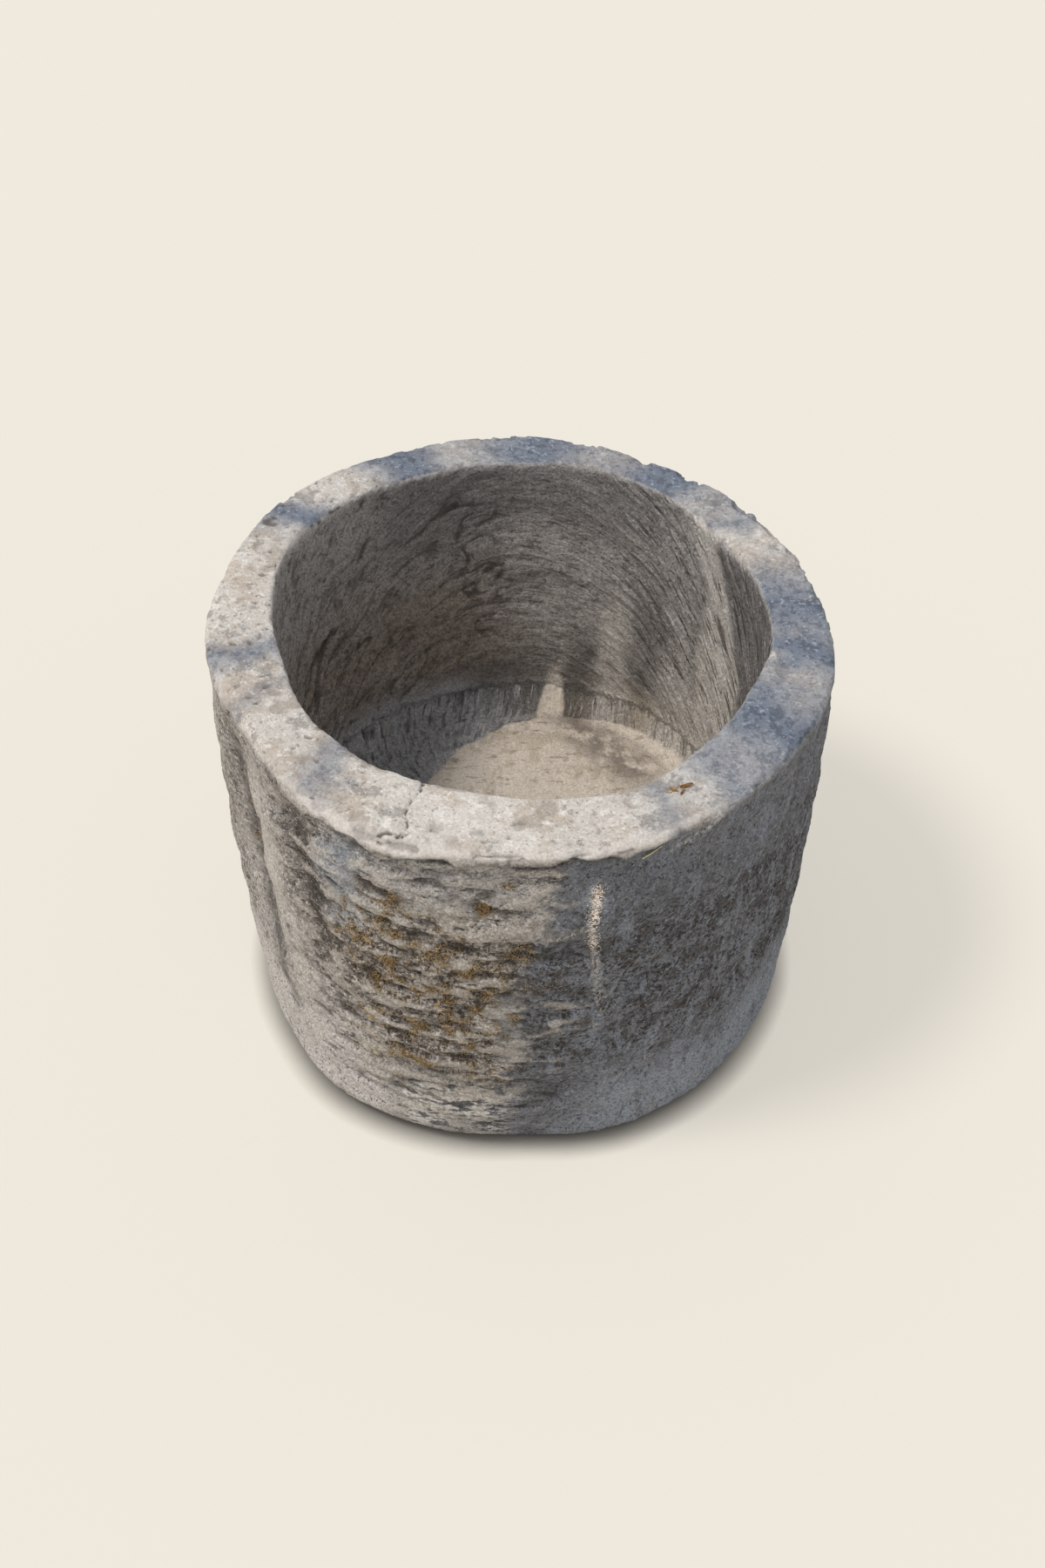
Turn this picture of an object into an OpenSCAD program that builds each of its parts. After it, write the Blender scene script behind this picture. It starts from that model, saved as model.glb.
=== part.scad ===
// Hand-carved round limestone planter, in millimetres. +Z is up, -Y is the front, and the origin is
// on the ground under the middle of the pot. Directions are degrees from +X, towards the back.

/* [Block] */
// Diameter across the rim
rim_d = 650; // [560:10:760]
// Height of the rim above the ground, at the middle of the mouth
pot_h = 490; // [420:5:600]
// How far the foot stands in from the rim, all round
foot_inset = 26; // [0:1:50]
// Radius of the worn edge round the foot
foot_round = 34; // [15:1:60]
// How far the wall swells outwards halfway up
belly = 8; // [0:1:20]
// How much lower the rim lies on the right than on the left
rim_fall = 14; // [0:1:30]
// Radius of the worn outer edge of the rim
rim_round = 7; // [4:1:16]

/* [Cavity] */
// Width of the rim, where the mouth is cut in the middle
rim_w = 65; // [50:1:90]
// How far the mouth lies towards the back
mouth_shift = 15; // [0:1:20]
// Radius of the worn inner edge of the rim
mouth_round = 5; // [2:1:12]
// How much narrower the cavity is at its floor, all round
cavity_draft = 5; // [0:1:20]
// Thickness of the floor
floor_t = 145; // [80:5:200]
// Radius of the hollow corner between cavity wall and floor
floor_round = 38; // [15:1:60]

/* [Drain] */
// Diameter of the drain hole
drain_d = 30; // [16:1:50]
// Width of the flat seat round the drain hole
drain_seat = 24; // [10:1:40]

/* [Carving] */
// Depth of the chiselled ledges round the outside
ledge_depth = 2; // [0:0.5:4]
// Height of one course of ledges
ledge_pitch = 76; // [60:2:120]
// Depth of the broken shelves that split off the front left
shelf_depth = 5; // [0:0.5:7]
// Height of one shelf
shelf_pitch = 46; // [40:2:70]
// Depth of the hollows that the chisel left in the cavity wall
tooling_depth = 2; // [0:0.5:4]
// Depth of the hollows that the chisel left in the floor
floor_wave = 3; // [0:0.5:5]
// Height of the waves worn into the rim
rim_wave = 1.5; // [0:0.5:4]

/* [Wear] */
// Depth of the groove that runs down the left of the front
groove_depth = 9; // [0:1:14]
// Length of the groove
groove_len = 250; // [150:10:280]
// How far the groove starts below the rim
groove_drop = 30; // [15:5:60]
// Depth of the broad hollow to the right of the groove
hollow_depth = 6; // [0:1:10]
// Length of the hollow
hollow_len = 220; // [120:10:280]
// How far the hollow starts below the rim
hollow_drop = 20; // [10:5:60]
// Height of the upright ridge on the front
ridge_height = 3; // [0:0.5:6]
// Length of the ridge
ridge_len = 230; // [120:10:280]
// How far the ridge starts below the rim
ridge_drop = 45; // [20:5:80]

/* [Growth] */
// How far a moss cushion stands off the stone
moss_t = 5; // [3:0.5:9]
// Width of the largest moss cushion
moss_w = 17; // [10:1:24]
// Width of a small moss tuft
tuft_w = 6; // [4:0.5:9]
// Thickness of a small moss tuft
tuft_t = 2; // [1:0.5:4]
// Width of a lichen crust
crust_w = 9; // [5:1:14]
// Thickness of a lichen crust
crust_t = 1.5; // [1:0.5:3]
// Length of the dry stalk
stalk_len = 21; // [12:1:30]
// Thickness of the dry stalk at its root end
stalk_d = 1.8; // [1:0.1:3]
// Length of the longest leaf scrap
scrap_len = 15; // [8:1:20]
// Width of the longest leaf scrap
scrap_w = 5; // [3:0.5:7]
// Thickness of a leaf scrap
scrap_t = 1.2; // [0.8:0.1:2]

/* [Hidden] */

rim_r = rim_d / 2;
foot_r = rim_r - foot_inset;
mouth_r = rim_r - rim_w;
drain_r = drain_d / 2;
seat_gap = 0.3;         // between the stone and what lies on it
cut_spare = 5;          // how far a cut runs past the face that it goes through
drain_fn = 64;

// Steps round the block, and rows of points on each part of its skin
turn_steps = 72;
foot_rows = 4;
wall_rows = 44;
edge_rows = 3;
rim_rows = 4;
mouth_rows = 2;
cavity_rows = 10;
corner_rows = 3;
floor_rows = 5;

// How far apart the chisel's hollows come up the cavity wall and across the floor
chisel_pitch = 257;
floor_pitch = 225;

// Waves that put the outside and the mouth out of round: [waves in a turn, height, direction of a crest]
outer_waves = [[2, 6.5, 99], [3, 2, 18], [4, 2, 75], [7, 2, 36]];
mouth_waves = [[2, 6, 103], [3, 2.5, 38], [4, 1.5, 65], [5, 3, 5], [6, 1.5, 54]];
// Places that stand out or in by themselves: [direction, swelling, half-width in degrees]
rim_swells = [[210, -5, 9], [243, 4, 11]];
foot_swells = [[222, 9, 15], [270, -3, 12], [312, 5, 18]];
// Bites out of the rim's edges: [direction, added radius, half-width in degrees]
outer_bites = [[28, 5, 4], [40, 7, 5], [53, 5, 4], [65, 6, 5], [80, 3, 4], [210, 9, 14], [237, 6, 6],
    [251, 9, 6], [300, 4, 9], [335, 4, 8]];
mouth_bites = [[30, 5, 10], [150, 3, 10], [250, 3, 4]];

// Where the shelves lie and how far they spread, in degrees
shelf_at = 252;
shelf_spread = 26;

// Where the groove, the hollow and the ridge run, how wide they are, in degrees, and how long their ends fade
groove_at = 203;
groove_lean = 13;
groove_width = 4;
hollow_at = 226;
hollow_lean = 7;
hollow_width = 4.5;
ridge_at = 284;
ridge_width = 2.5;
end_fade = 30;

// Where moss cushions grow: [direction, share of the wall's height, width, height, thickness], the last
// three as shares of the largest cushion's
upper_places = [[264.2, 0.84, 1, 0.75, 1]];
middle_places = [[247.5, 0.64, 1, 0.8, 1], [249, 0.845, 0.7, 0.5, 0.7], [268.4, 0.92, 0.8, 0.4, 0.6]];
lower_places = [[244, 0.54, 0.8, 0.8, 0.8], [261, 0.63, 0.9, 0.6, 0.8], [257.5, 0.52, 0.8, 0.6, 0.7],
    [262.5, 0.5, 0.8, 0.6, 0.7], [252, 0.26, 1, 0.8, 0.7]];
groove_places = [[207, 0.74, 0.5, 1, 0.8], [209, 0.66, 0.4, 0.7, 0.6]];

// Where leaf scraps lie: [direction, share of the way across the rim, length and width as shares of the
// longest scrap's, heading]
scrap_places = [[299, 0.68, 0.8, 0.8, 35], [302.3, 0.66, 1, 1, -20], [303, 0.42, 0.6, 0.7, 75]];

// The field of small tufts: its edges, and how many rows it has and tufts in a row
speck_from = 239;
speck_step = 4.1;
speck_low = 0.22;
speck_high = 0.86;
speck_rows = 10;
speck_turns = 8;
crusts = 8;

// Where the stalk lies, and how far each end turns and rises from its middle
stalk_at = 292.6;
stalk_half_turn = 1.4;
stalk_up = 0.965;
stalk_rise = 0.01;

function hump(x, width) = exp(-(x / width) * (x / width));
function turn_from(a, b) = (a - b + 540) % 360 - 180;
function sum_of(list) = list * [for (v = list) 1];
function swelling(places, a) = sum_of([for (p = places) p[1] * hump(turn_from(a, p[0]), p[2])]);
function wave(waves, a) = sum_of([for (w = waves) w[1] * cos(w[0] * (a - w[2]))]);
function lerp(a, b, share) = a + share * (b - a);
function clamp(x, low, high) = min(max(x, low), high);
function about_pot(a, r, z) = [r * cos(a), r * sin(a), z];
function about_mouth(a, r, z) = [r * cos(a), mouth_shift + r * sin(a), z];

// How much of a feature is left at a depth below the rim: all of it between its two faded ends
function between_ends(drop, start, length) = clamp((drop - start) / end_fade, 0, 1)
    * clamp((start + length - drop) / end_fade, 0, 1);

// The chisel's broken courses round the outside, deepest on the front left
function ledges(a, z) = let (t = 360 * z / ledge_pitch) ledge_depth * (0.6 + 0.4 * cos(a - 245))
    * (sin(t + 60 * sin(3 * a) + 50 * sin(7 * a + 30))
        + 0.6 * sin(5 * a + 0.19 * t) * cos(8 * a - 0.36 * t));
// Each shelf steps out sharply at its foot and falls back slowly towards the next
function shelves(a, z) = let (
        t = 360 * z / shelf_pitch,
        u = t + 90 * sin(4 * a) + 60 * sin(9 * a + 0.09 * t)
    ) shelf_depth * hump(turn_from(a, shelf_at), shelf_spread) * (0.6 + 0.4 * sin(11 * a + 0.32 * t))
        * (sin(u) + 0.5 * sin(2 * u)) / 2.6;
// A channel that runs down the wall, leaning as it goes
function channel(a, drop, start, length, at, lean, width) = between_ends(drop, start, length)
    * hump(turn_from(a, at + lean * (drop - start) / length), width);
function groove(a, drop) = groove_depth
    * channel(a, drop, groove_drop, groove_len, groove_at, groove_lean, groove_width);
function hollow(a, drop) = hollow_depth
    * channel(a, drop, hollow_drop, hollow_len, hollow_at, hollow_lean, hollow_width);
function ridge(a, drop) = ridge_height * channel(a, drop, ridge_drop, ridge_len, ridge_at, 0, ridge_width);

// Radius of the wall at a height, and of the cavity below its worn edge
function wall_r(a, z) = let (up = z / pot_h, drop = pot_h - z)
    lerp(foot_r, rim_r, up) + belly * 4 * up * (1 - up)
    + wave(outer_waves, a) * lerp(0.5, 1, up)
    + lerp(swelling(foot_swells, a), swelling(rim_swells, a), up)
    + ledges(a, z) + shelves(a, z) - groove(a, drop) - hollow(a, drop) + ridge(a, drop);
function cavity_r(a, z) = let (up = (z - floor_t) / (pot_h - floor_t), t = 360 * z / chisel_pitch)
    mouth_r - cavity_draft * (1 - up) + wave(mouth_waves, a) * lerp(0.3, 1, up)
    + tooling_depth * sin(4 * a + t) * sin(9 * a - 1.64 * t);

// The rim slopes down to the right
function rim_z(a, r) = pot_h - rim_fall * r * cos(a) / rim_d;
function outer_edge(a) = min(rim_round + swelling(outer_bites, a), rim_w / 3);
function mouth_edge(a) = min(mouth_round + swelling(mouth_bites, a), rim_w / 4);

// Points on each part of the skin, at a share of the way along it from the foot to the drain
function foot_point(a, s) = let (c = wall_r(a, foot_round) - foot_round)
    about_pot(a, c + foot_round * sin(90 * s), foot_round * (1 - cos(90 * s)));
function wall_point(a, s) = let (z = lerp(foot_round, rim_z(a, rim_r) - outer_edge(a), s))
    about_pot(a, wall_r(a, z), z);
function edge_point(a, s) = let (e = outer_edge(a), z = rim_z(a, rim_r) - e)
    about_pot(a, wall_r(a, z) - e * (1 - cos(90 * s)), z + e * sin(90 * s));
function mouth_point(a, s) = let (e = mouth_edge(a), z = rim_z(a, mouth_r))
    about_mouth(a, cavity_r(a, z - e) + e * (1 - sin(90 * s)), z - e * (1 - cos(90 * s)));
function rim_point(a, s) = lerp(edge_point(a, 1), mouth_point(a, 0), s)
    + [0, 0, rim_wave * sin(180 * s) * sin(5 * a + 200 * s) * cos(11 * a)];
function cavity_point(a, s) = let (
        z = lerp(rim_z(a, mouth_r) - mouth_edge(a), floor_t + floor_round, s)
    ) about_mouth(a, cavity_r(a, z), z);
function corner_point(a, s) = let (
        z = floor_t + floor_round,
        c = cavity_r(a, z) - floor_round
    ) about_mouth(a, c + floor_round * cos(90 * s), z - floor_round * sin(90 * s));
function seat_point(a) = about_pot(a, drain_r + drain_seat, floor_t);
function floor_point(a, s) = let (
        p = lerp(corner_point(a, 1), seat_point(a), s),
        t = 360 * p / floor_pitch
    ) p + [0, 0, floor_wave * sin(180 * s) * sin(t[0] + 30) * cos(1.19 * t[1])];

// The skin, row by row. Row 0 lies under the ground, where the block is cut flat.
turns = [for (j = [0 : turn_steps - 1]) j * 360 / turn_steps];
function sole_point(a) = let (p = foot_point(a, 0)) [p[0], p[1], -cut_spare];
skin = [
    [for (a = turns) sole_point(a)],
    for (k = [1 : foot_rows - 1]) [for (a = turns) foot_point(a, k / foot_rows)],
    for (k = [0 : wall_rows]) [for (a = turns) wall_point(a, k / wall_rows)],
    for (k = [1 : edge_rows]) [for (a = turns) edge_point(a, k / edge_rows)],
    for (k = [1 : rim_rows - 1]) [for (a = turns) rim_point(a, k / rim_rows)],
    for (k = [0 : mouth_rows]) [for (a = turns) mouth_point(a, k / mouth_rows)],
    for (k = [1 : cavity_rows]) [for (a = turns) cavity_point(a, k / cavity_rows)],
    for (k = [1 : corner_rows]) [for (a = turns) corner_point(a, k / corner_rows)],
    for (k = [1 : floor_rows]) [for (a = turns) floor_point(a, k / floor_rows)]
];
first_wall_row = foot_rows;
first_rim_row = foot_rows + wall_rows + edge_rows;

// A point on the skin's own facets, at a row that may lie between two rows
function on_skin(row, a) = let (
        i = clamp(floor(row), 0, len(skin) - 2),
        turn = (a + 360) % 360 * turn_steps / 360,
        j = floor(turn) % turn_steps,
        next = (j + 1) % turn_steps,
        up = row - i,
        along = turn - floor(turn),
        here = skin[i][j],
        over = skin[i + 1][next]
    ) along > up
        ? here + along * (skin[i][next] - here) + up * (over - skin[i][next])
        : here + up * (skin[i + 1][j] - here) + along * (over - skin[i + 1][j]);
function on_wall(a, up) = on_skin(first_wall_row + up * wall_rows, a);
function on_rim(a, across) = on_skin(first_rim_row + across * rim_rows, a);
wall_h = pot_h - rim_round - foot_round;
mm_per_degree = rim_r * PI / 180;

// A closed solid from rings of points, each ring running the same way round, and its two end points
module closed_skin(rings, first, last) {
    sides = len(rings[0]);
    top = (len(rings) - 1) * sides;
    ends = top + sides;
    bands = [for (i = [0 : len(rings) - 2]) for (j = [0 : sides - 1]) let (
            here = i * sides + j,
            next = i * sides + (j + 1) % sides,
            over = here + sides
        ) each [[here, over, next + sides], [here, next + sides, next]]];
    caps = [for (j = [0 : sides - 1]) let (next = (j + 1) % sides)
        each [[ends, j, next], [ends + 1, top + next, top + j]]];
    polyhedron([for (ring = rings) each ring, first, last], concat(bands, caps));
}

// The block: one closed skin, cut flat underneath and drilled through the floor
module stone_body() {
    color([0.66, 0.64, 0.60]) difference() {
        closed_skin(skin, [0, 0, -cut_spare], [0, 0, floor_t]);
        translate([-rim_d, -rim_d, -2 * cut_spare])
            cube([2 * rim_d, 2 * rim_d, 2 * cut_spare]);
        translate([0, 0, -cut_spare])
            cylinder(r = drain_r, h = floor_t + 2 * cut_spare, $fn = drain_fn);
    }
}

// A ragged ring on the wall about a middle, at a share of its full size, standing off the stone
function wall_ring(a, up, width, height, sides, size, stand) = [
    for (k = [0 : sides - 1]) let (q = 360 * k / sides, g = size * (0.85 + 0.15 * sin(137 * k + 40 * a)))
        on_wall(a + g * width / 2 * cos(q) / mm_per_degree, up + g * height / 2 * sin(q) / wall_h)
            + stand * [cos(a), sin(a), 0]
];
function wall_spot(a, up, stand) = on_wall(a, up) + stand * [cos(a), sin(a), 0];

// A low cushion of moss that follows the wall: its middle, its size and how far it stands off
module cushion(a, up, width, height, thick, sides = 12) {
    closed_skin([
        wall_ring(a, up, width, height, sides, 0.5, seat_gap),
        wall_ring(a, up, width, height, sides, 1, seat_gap),
        wall_ring(a, up, width, height, sides, 0.85, seat_gap + 0.6 * thick),
        wall_ring(a, up, width, height, sides, 0.5, seat_gap + 0.9 * thick)
    ], wall_spot(a, up, seat_gap), wall_spot(a, up, seat_gap + thick));
}

// A small tuft or crust, with few faces because there are many
module tuft(a, up, width, height, thick, sides = 6) {
    closed_skin([
        wall_ring(a, up, width, height, sides, 1, seat_gap),
        wall_ring(a, up, width, height, sides, 0.7, seat_gap + 0.7 * thick)
    ], wall_spot(a, up, seat_gap), wall_spot(a, up, seat_gap + thick));
}

module cushions(places) {
    for (p = places)
        cushion(p[0], p[1], moss_w * p[2], moss_w * p[3], moss_t * p[4]);
}

module moss_upper() color([0.55, 0.42, 0.16]) cushions(upper_places);
module moss_middle() color([0.52, 0.40, 0.15]) cushions(middle_places);
module moss_lower() color([0.55, 0.44, 0.20]) cushions(lower_places);
module moss_groove() color([0.60, 0.45, 0.12]) cushions(groove_places);

// Small tufts in staggered, uneven rows over the front left, clear of the larger cushions
module moss_specks() color([0.62, 0.50, 0.28]) {
    large = concat(upper_places, middle_places, lower_places);
    for (i = [0 : speck_rows - 1]) for (k = [0 : speck_turns - 1]) {
        a = speck_from + speck_step * (k + 0.5 * (i % 2) + 0.15 * sin(97 * k + 61 * i));
        up = lerp(speck_low, speck_high, i / (speck_rows - 1)) + 0.012 * sin(71 * k + 133 * i);
        size = tuft_w * (0.8 + 0.2 * sin(53 * k + 29 * i));
        room = min([for (p = large) norm([(a - p[0]) * mm_per_degree, (up - p[1]) * wall_h])]);
        if (room > moss_w)
            tuft(a, up, size, size * 0.8, tuft_t);
    }
}

module lichen_ridge() color([0.78, 0.66, 0.55]) {
    for (k = [0 : crusts - 1]) {
        drop = ridge_drop + ridge_len * (k + 0.5) / crusts;
        up = (pot_h - drop - foot_round) / wall_h;
        tuft(ridge_at + 0.6 * sin(150 * k), up, crust_w * (0.8 + 0.2 * sin(111 * k)), crust_w, crust_t,
            sides = 8);
    }
}

// The stalk lies on the wall close under the rim, climbing to the right
module grass_stalk() color([0.80, 0.70, 0.48]) {
    start = on_wall(stalk_at - stalk_half_turn, stalk_up - stalk_rise);
    finish = on_wall(stalk_at + stalk_half_turn, stalk_up + stalk_rise);
    out = [cos(stalk_at), sin(stalk_at), 0];
    along = (finish - start) / norm(finish - start);
    bulge = max(0, (on_wall(stalk_at, stalk_up) - (start + finish) / 2) * out);
    root = (start + finish) / 2 + (bulge + seat_gap + stalk_d / 2) * out - stalk_len / 2 * along;
    translate(root)
        rotate([0, acos(along[2]), atan2(along[1], along[0])])
            cylinder(d1 = stalk_d, d2 = stalk_d * 0.6, h = stalk_len, $fn = 24);
}

// A pointed scrap that follows the rim: its middle, its size and the way that it points
module scrap(a, across, length, width, heading, sides = 8) {
    function place(x, y) = on_rim(a + (x * cos(heading) - y * sin(heading)) / mm_per_degree,
        across + (x * sin(heading) + y * cos(heading)) / rim_w);
    function ring(size, lift) = [for (k = [0 : sides - 1]) let (q = 360 * k / sides)
        place(size * length / 2 * cos(q), size * width / 2 * sin(q)) + [0, 0, lift]];
    closed_skin([ring(1, seat_gap), ring(0.9, seat_gap + scrap_t)],
        place(0, 0) + [0, 0, seat_gap], place(0, 0) + [0, 0, seat_gap + 1.3 * scrap_t]);
}

module leaf_scraps() color([0.56, 0.42, 0.20]) {
    for (p = scrap_places)
        scrap(p[0], p[1], scrap_len * p[2], scrap_w * p[3], p[4]);
}

stone_body();
moss_upper();
moss_middle();
moss_lower();
moss_groove();
moss_specks();
lichen_ridge();
grass_stalk();
leaf_scraps();
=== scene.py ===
import math
from functools import partial
from itertools import product

import bpy
import numpy as np
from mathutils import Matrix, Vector
from mathutils.bvhtree import BVHTree


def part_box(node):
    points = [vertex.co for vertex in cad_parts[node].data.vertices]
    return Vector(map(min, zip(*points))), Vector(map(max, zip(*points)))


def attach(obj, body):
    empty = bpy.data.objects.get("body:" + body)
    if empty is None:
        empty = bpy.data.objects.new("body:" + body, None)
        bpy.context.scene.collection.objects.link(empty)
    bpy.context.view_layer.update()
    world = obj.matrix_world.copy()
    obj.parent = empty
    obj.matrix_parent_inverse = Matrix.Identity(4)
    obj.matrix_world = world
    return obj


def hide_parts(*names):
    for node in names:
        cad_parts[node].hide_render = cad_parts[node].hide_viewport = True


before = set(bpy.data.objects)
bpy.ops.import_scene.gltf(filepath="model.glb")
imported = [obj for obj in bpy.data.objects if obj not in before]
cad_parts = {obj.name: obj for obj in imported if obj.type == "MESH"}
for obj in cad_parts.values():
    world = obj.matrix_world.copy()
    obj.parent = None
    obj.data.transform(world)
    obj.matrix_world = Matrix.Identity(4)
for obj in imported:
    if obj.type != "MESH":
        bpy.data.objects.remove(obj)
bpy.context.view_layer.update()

mm = 0.001


# sRGB hex to the linear values that Blender mixes
def linear(code):
    parts = [int(code[i:i + 2], 16) / 255 for i in (1, 3, 5)]
    return [c / 12.92 if c <= 0.04045 else ((c + 0.055) / 1.055) ** 2.4 for c in parts] + [1.0]


# what each of a node's inputs is: a value or another node's output
def setInputs(tree, node, inputs):
    for key, value in inputs.items():
        if isinstance(value, bpy.types.NodeSocket):
            tree.links.new(value, node.inputs[key])
        else:
            node.inputs[key].default_value = value


# one node, a shader's where its kind doesn't say more. It gives one of its outputs, or all for None.
def addNode(tree, kind, settings={}, inputs={}, out=0):
    node = tree.nodes.new(kind if "Node" in kind else "ShaderNode" + kind)
    for key, value in settings.items():
        setattr(node, key, value)
    setInputs(tree, node, inputs)
    return node.outputs if out is None or not node.outputs else node.outputs[out]


multiply = {"operation": "MULTIPLY"}
colours = {"data_type": "RGBA"}


# an object that puts a mesh, a lamp or the camera in the scene
def addObject(name, data):
    obj = bpy.data.objects.new(name, data)
    bpy.context.scene.collection.objects.link(obj)
    return obj


# a new material and its node tree
def addMaterial(name):
    material = bpy.data.materials.new(name)
    material.use_nodes = True
    return material, material.node_tree


def sinD(a):
    return np.sin(np.radians(a))


def cosD(a):
    return np.cos(np.radians(a))


def lerp(a, b, share):
    return a + share * (b - a)


def ease(x, low, high):
    t = np.clip((x - low) / (high - low), 0, 1)
    return t * t * (3 - 2 * t)


def hump(x, width):
    return np.exp(-(x / width) ** 2)


def turnFrom(a, b):
    return (a - b + 180) % 360 - 180


# 1 between two directions, fading out over its soft edge
def sector(a, turns, soft):
    middle, half = sum(turns) / 2, (turns[1] - turns[0]) / 2
    return ease(half - np.abs(turnFrom(a, middle)), -soft, soft)


# 1 between two directions and two heights
def window(a, z, turns, heights, softTurn, softRise):
    rise = np.maximum(heights[0] - z, z - heights[1])
    return sector(a, turns, softTurn) * ease(-rise, -softRise, softRise)


# smooth lattice noise from -1 to 1, with cells of a size in mm, the same on each run
def noiseAt(points, size, seed=0, octaves=1):
    total, weight = 0, 0
    for octave in range(octaves):
        q = points * (2 ** octave / np.asarray(size, float)) + 19.7 * octave
        cell = np.floor(q).astype(np.int64)
        f = q - cell
        f = f * f * (3 - 2 * f)
        value = 0
        # each corner of the cell has its own number, scattered by large odd factors
        for corner in product((0, 1), repeat=3):
            c = cell + corner
            h = (c[..., 0] * 374761393 + c[..., 1] * 668265263 + c[..., 2] * 1440662683
                 + (seed + octave) * 1013904223) & 0xffffffff
            h = ((h ^ (h >> 13)) * 1274126177) & 0xffffffff
            share = np.prod([f[..., k] if corner[k] else 1 - f[..., k] for k in range(3)], axis=0)
            value = value + share * (((h ^ (h >> 16)) & 0xffff) / 32767.5 - 1)
        total = total + value * 0.5 ** octave
        weight += 0.5 ** octave
    return total / weight


# sizes in mm and directions in degrees, as the solid has them
block = {
    "height": 490, "rimRadius": 325, "footInset": 26, "footRound": 34, "belly": 8,
    "rimFall": 14, "rimRound": 7, "rimWidth": 65, "mouthShift": 15, "mouthRound": 5,
    "draft": 5, "floor": 145, "floorRound": 38, "drainRadius": 15, "seat": 24,
    "outerWaves": [(2, 6.5, 99), (3, 2, 18), (4, 2, 75), (7, 2, 36)],
    "mouthWaves": [(2, 6, 103), (3, 2.5, 38), (4, 1.5, 65), (5, 3, 5), (6, 1.5, 54)],
    "rimSwells": [(210, -5, 9), (243, 4, 11)],
    "footSwells": [(222, 9, 15), (270, -3, 12), (312, 5, 18)],
    "outerBites": [(28, 5, 4), (40, 7, 5), (53, 5, 4), (65, 6, 5), (80, 3, 4), (210, 9, 14),
                   (237, 6, 6), (251, 9, 6), (300, 4, 9), (335, 4, 8)],
    "mouthBites": [(30, 5, 10), (150, 3, 10), (250, 3, 4)],
    "ledgeDepth": 2, "ledgePitch": 76, "shelfDepth": 5, "shelfPitch": 46, "shelfAt": 252, "shelfSpread": 26,
    "tooling": 2, "chiselPitch": 257, "floorWave": 3, "floorPitch": 225, "rimWave": 1.5,
    "groove": {"at": 203, "lean": 13, "width": 4, "depth": 9, "drop": 30, "length": 250},
    "hollow": {"at": 226, "lean": 7, "width": 4.5, "depth": 6, "drop": 20, "length": 220},
    "ridge": {"at": 284, "lean": 0, "width": 2.5, "depth": -3, "drop": 45, "length": 230},
    "endFade": 30,
}


def swelling(places, a):
    return sum(size * hump(turnFrom(a, at), half) for at, size, half in places)


# mm along the rim for some degrees
def alongRim(turn):
    return turn * math.radians(1) * block["rimRadius"]


def wave(waves, a):
    return sum(height * cosD(turns * (a - crest)) for turns, height, crest in waves)


# the direction in which a channel lies at a depth below the rim
def channelAt(way, drop):
    return way["at"] + way["lean"] * (drop - way["drop"]) / way["length"]


# depth of the groove or the hollow, or less than nothing for the ridge
def channel(way, a, drop):
    fade = block["endFade"]
    ends = (np.clip((drop - way["drop"]) / fade, 0, 1)
            * np.clip((way["drop"] + way["length"] - drop) / fade, 0, 1))
    return way["depth"] * ends * hump(turnFrom(a, channelAt(way, drop)), way["width"])


# the chisel's broad courses
def courses(a, z):
    t = 360 * z / block["ledgePitch"]
    waves = (sinD(t + 60 * sinD(3 * a) + 50 * sinD(7 * a + 30))
             + 0.6 * sinD(5 * a + 0.19 * t) * cosD(8 * a - 0.36 * t))
    return block["ledgeDepth"] * (0.6 + 0.4 * cosD(a - 245)) * waves


# the shelves that split off the front left: out sharply at the foot, back slowly above
def shelves(a, z):
    t = 360 * z / block["shelfPitch"]
    u = t + 90 * sinD(4 * a) + 60 * sinD(9 * a + 0.09 * t)
    spread = hump(turnFrom(a, block["shelfAt"]), block["shelfSpread"])
    spread = spread * (0.6 + 0.4 * sinD(11 * a + 0.32 * t))
    return block["shelfDepth"] * spread * (sinD(u) + 0.5 * sinD(2 * u)) / 2.6


def wallRadius(a, z):
    b = block
    up = z / b["height"]
    drop = b["height"] - z
    return (lerp(b["rimRadius"] - b["footInset"], b["rimRadius"], up) + b["belly"] * 4 * up * (1 - up)
            + wave(b["outerWaves"], a) * lerp(0.5, 1, up)
            + lerp(swelling(b["footSwells"], a), swelling(b["rimSwells"], a), up)
            + courses(a, z) + shelves(a, z)
            - channel(b["groove"], a, drop) - channel(b["hollow"], a, drop) - channel(b["ridge"], a, drop))


def cavityRadius(a, z):
    b = block
    up = (z - b["floor"]) / (b["height"] - b["floor"])
    t = 360 * z / b["chiselPitch"]
    return (b["rimRadius"] - b["rimWidth"] - b["draft"] * (1 - up)
            + wave(b["mouthWaves"], a) * lerp(0.3, 1, up)
            + b["tooling"] * sinD(4 * a + t) * sinD(9 * a - 1.64 * t))


def place(a, r, z, shift=0):
    return np.stack([r * cosD(a), shift + r * sinD(a), z + 0 * a], axis=-1)


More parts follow.
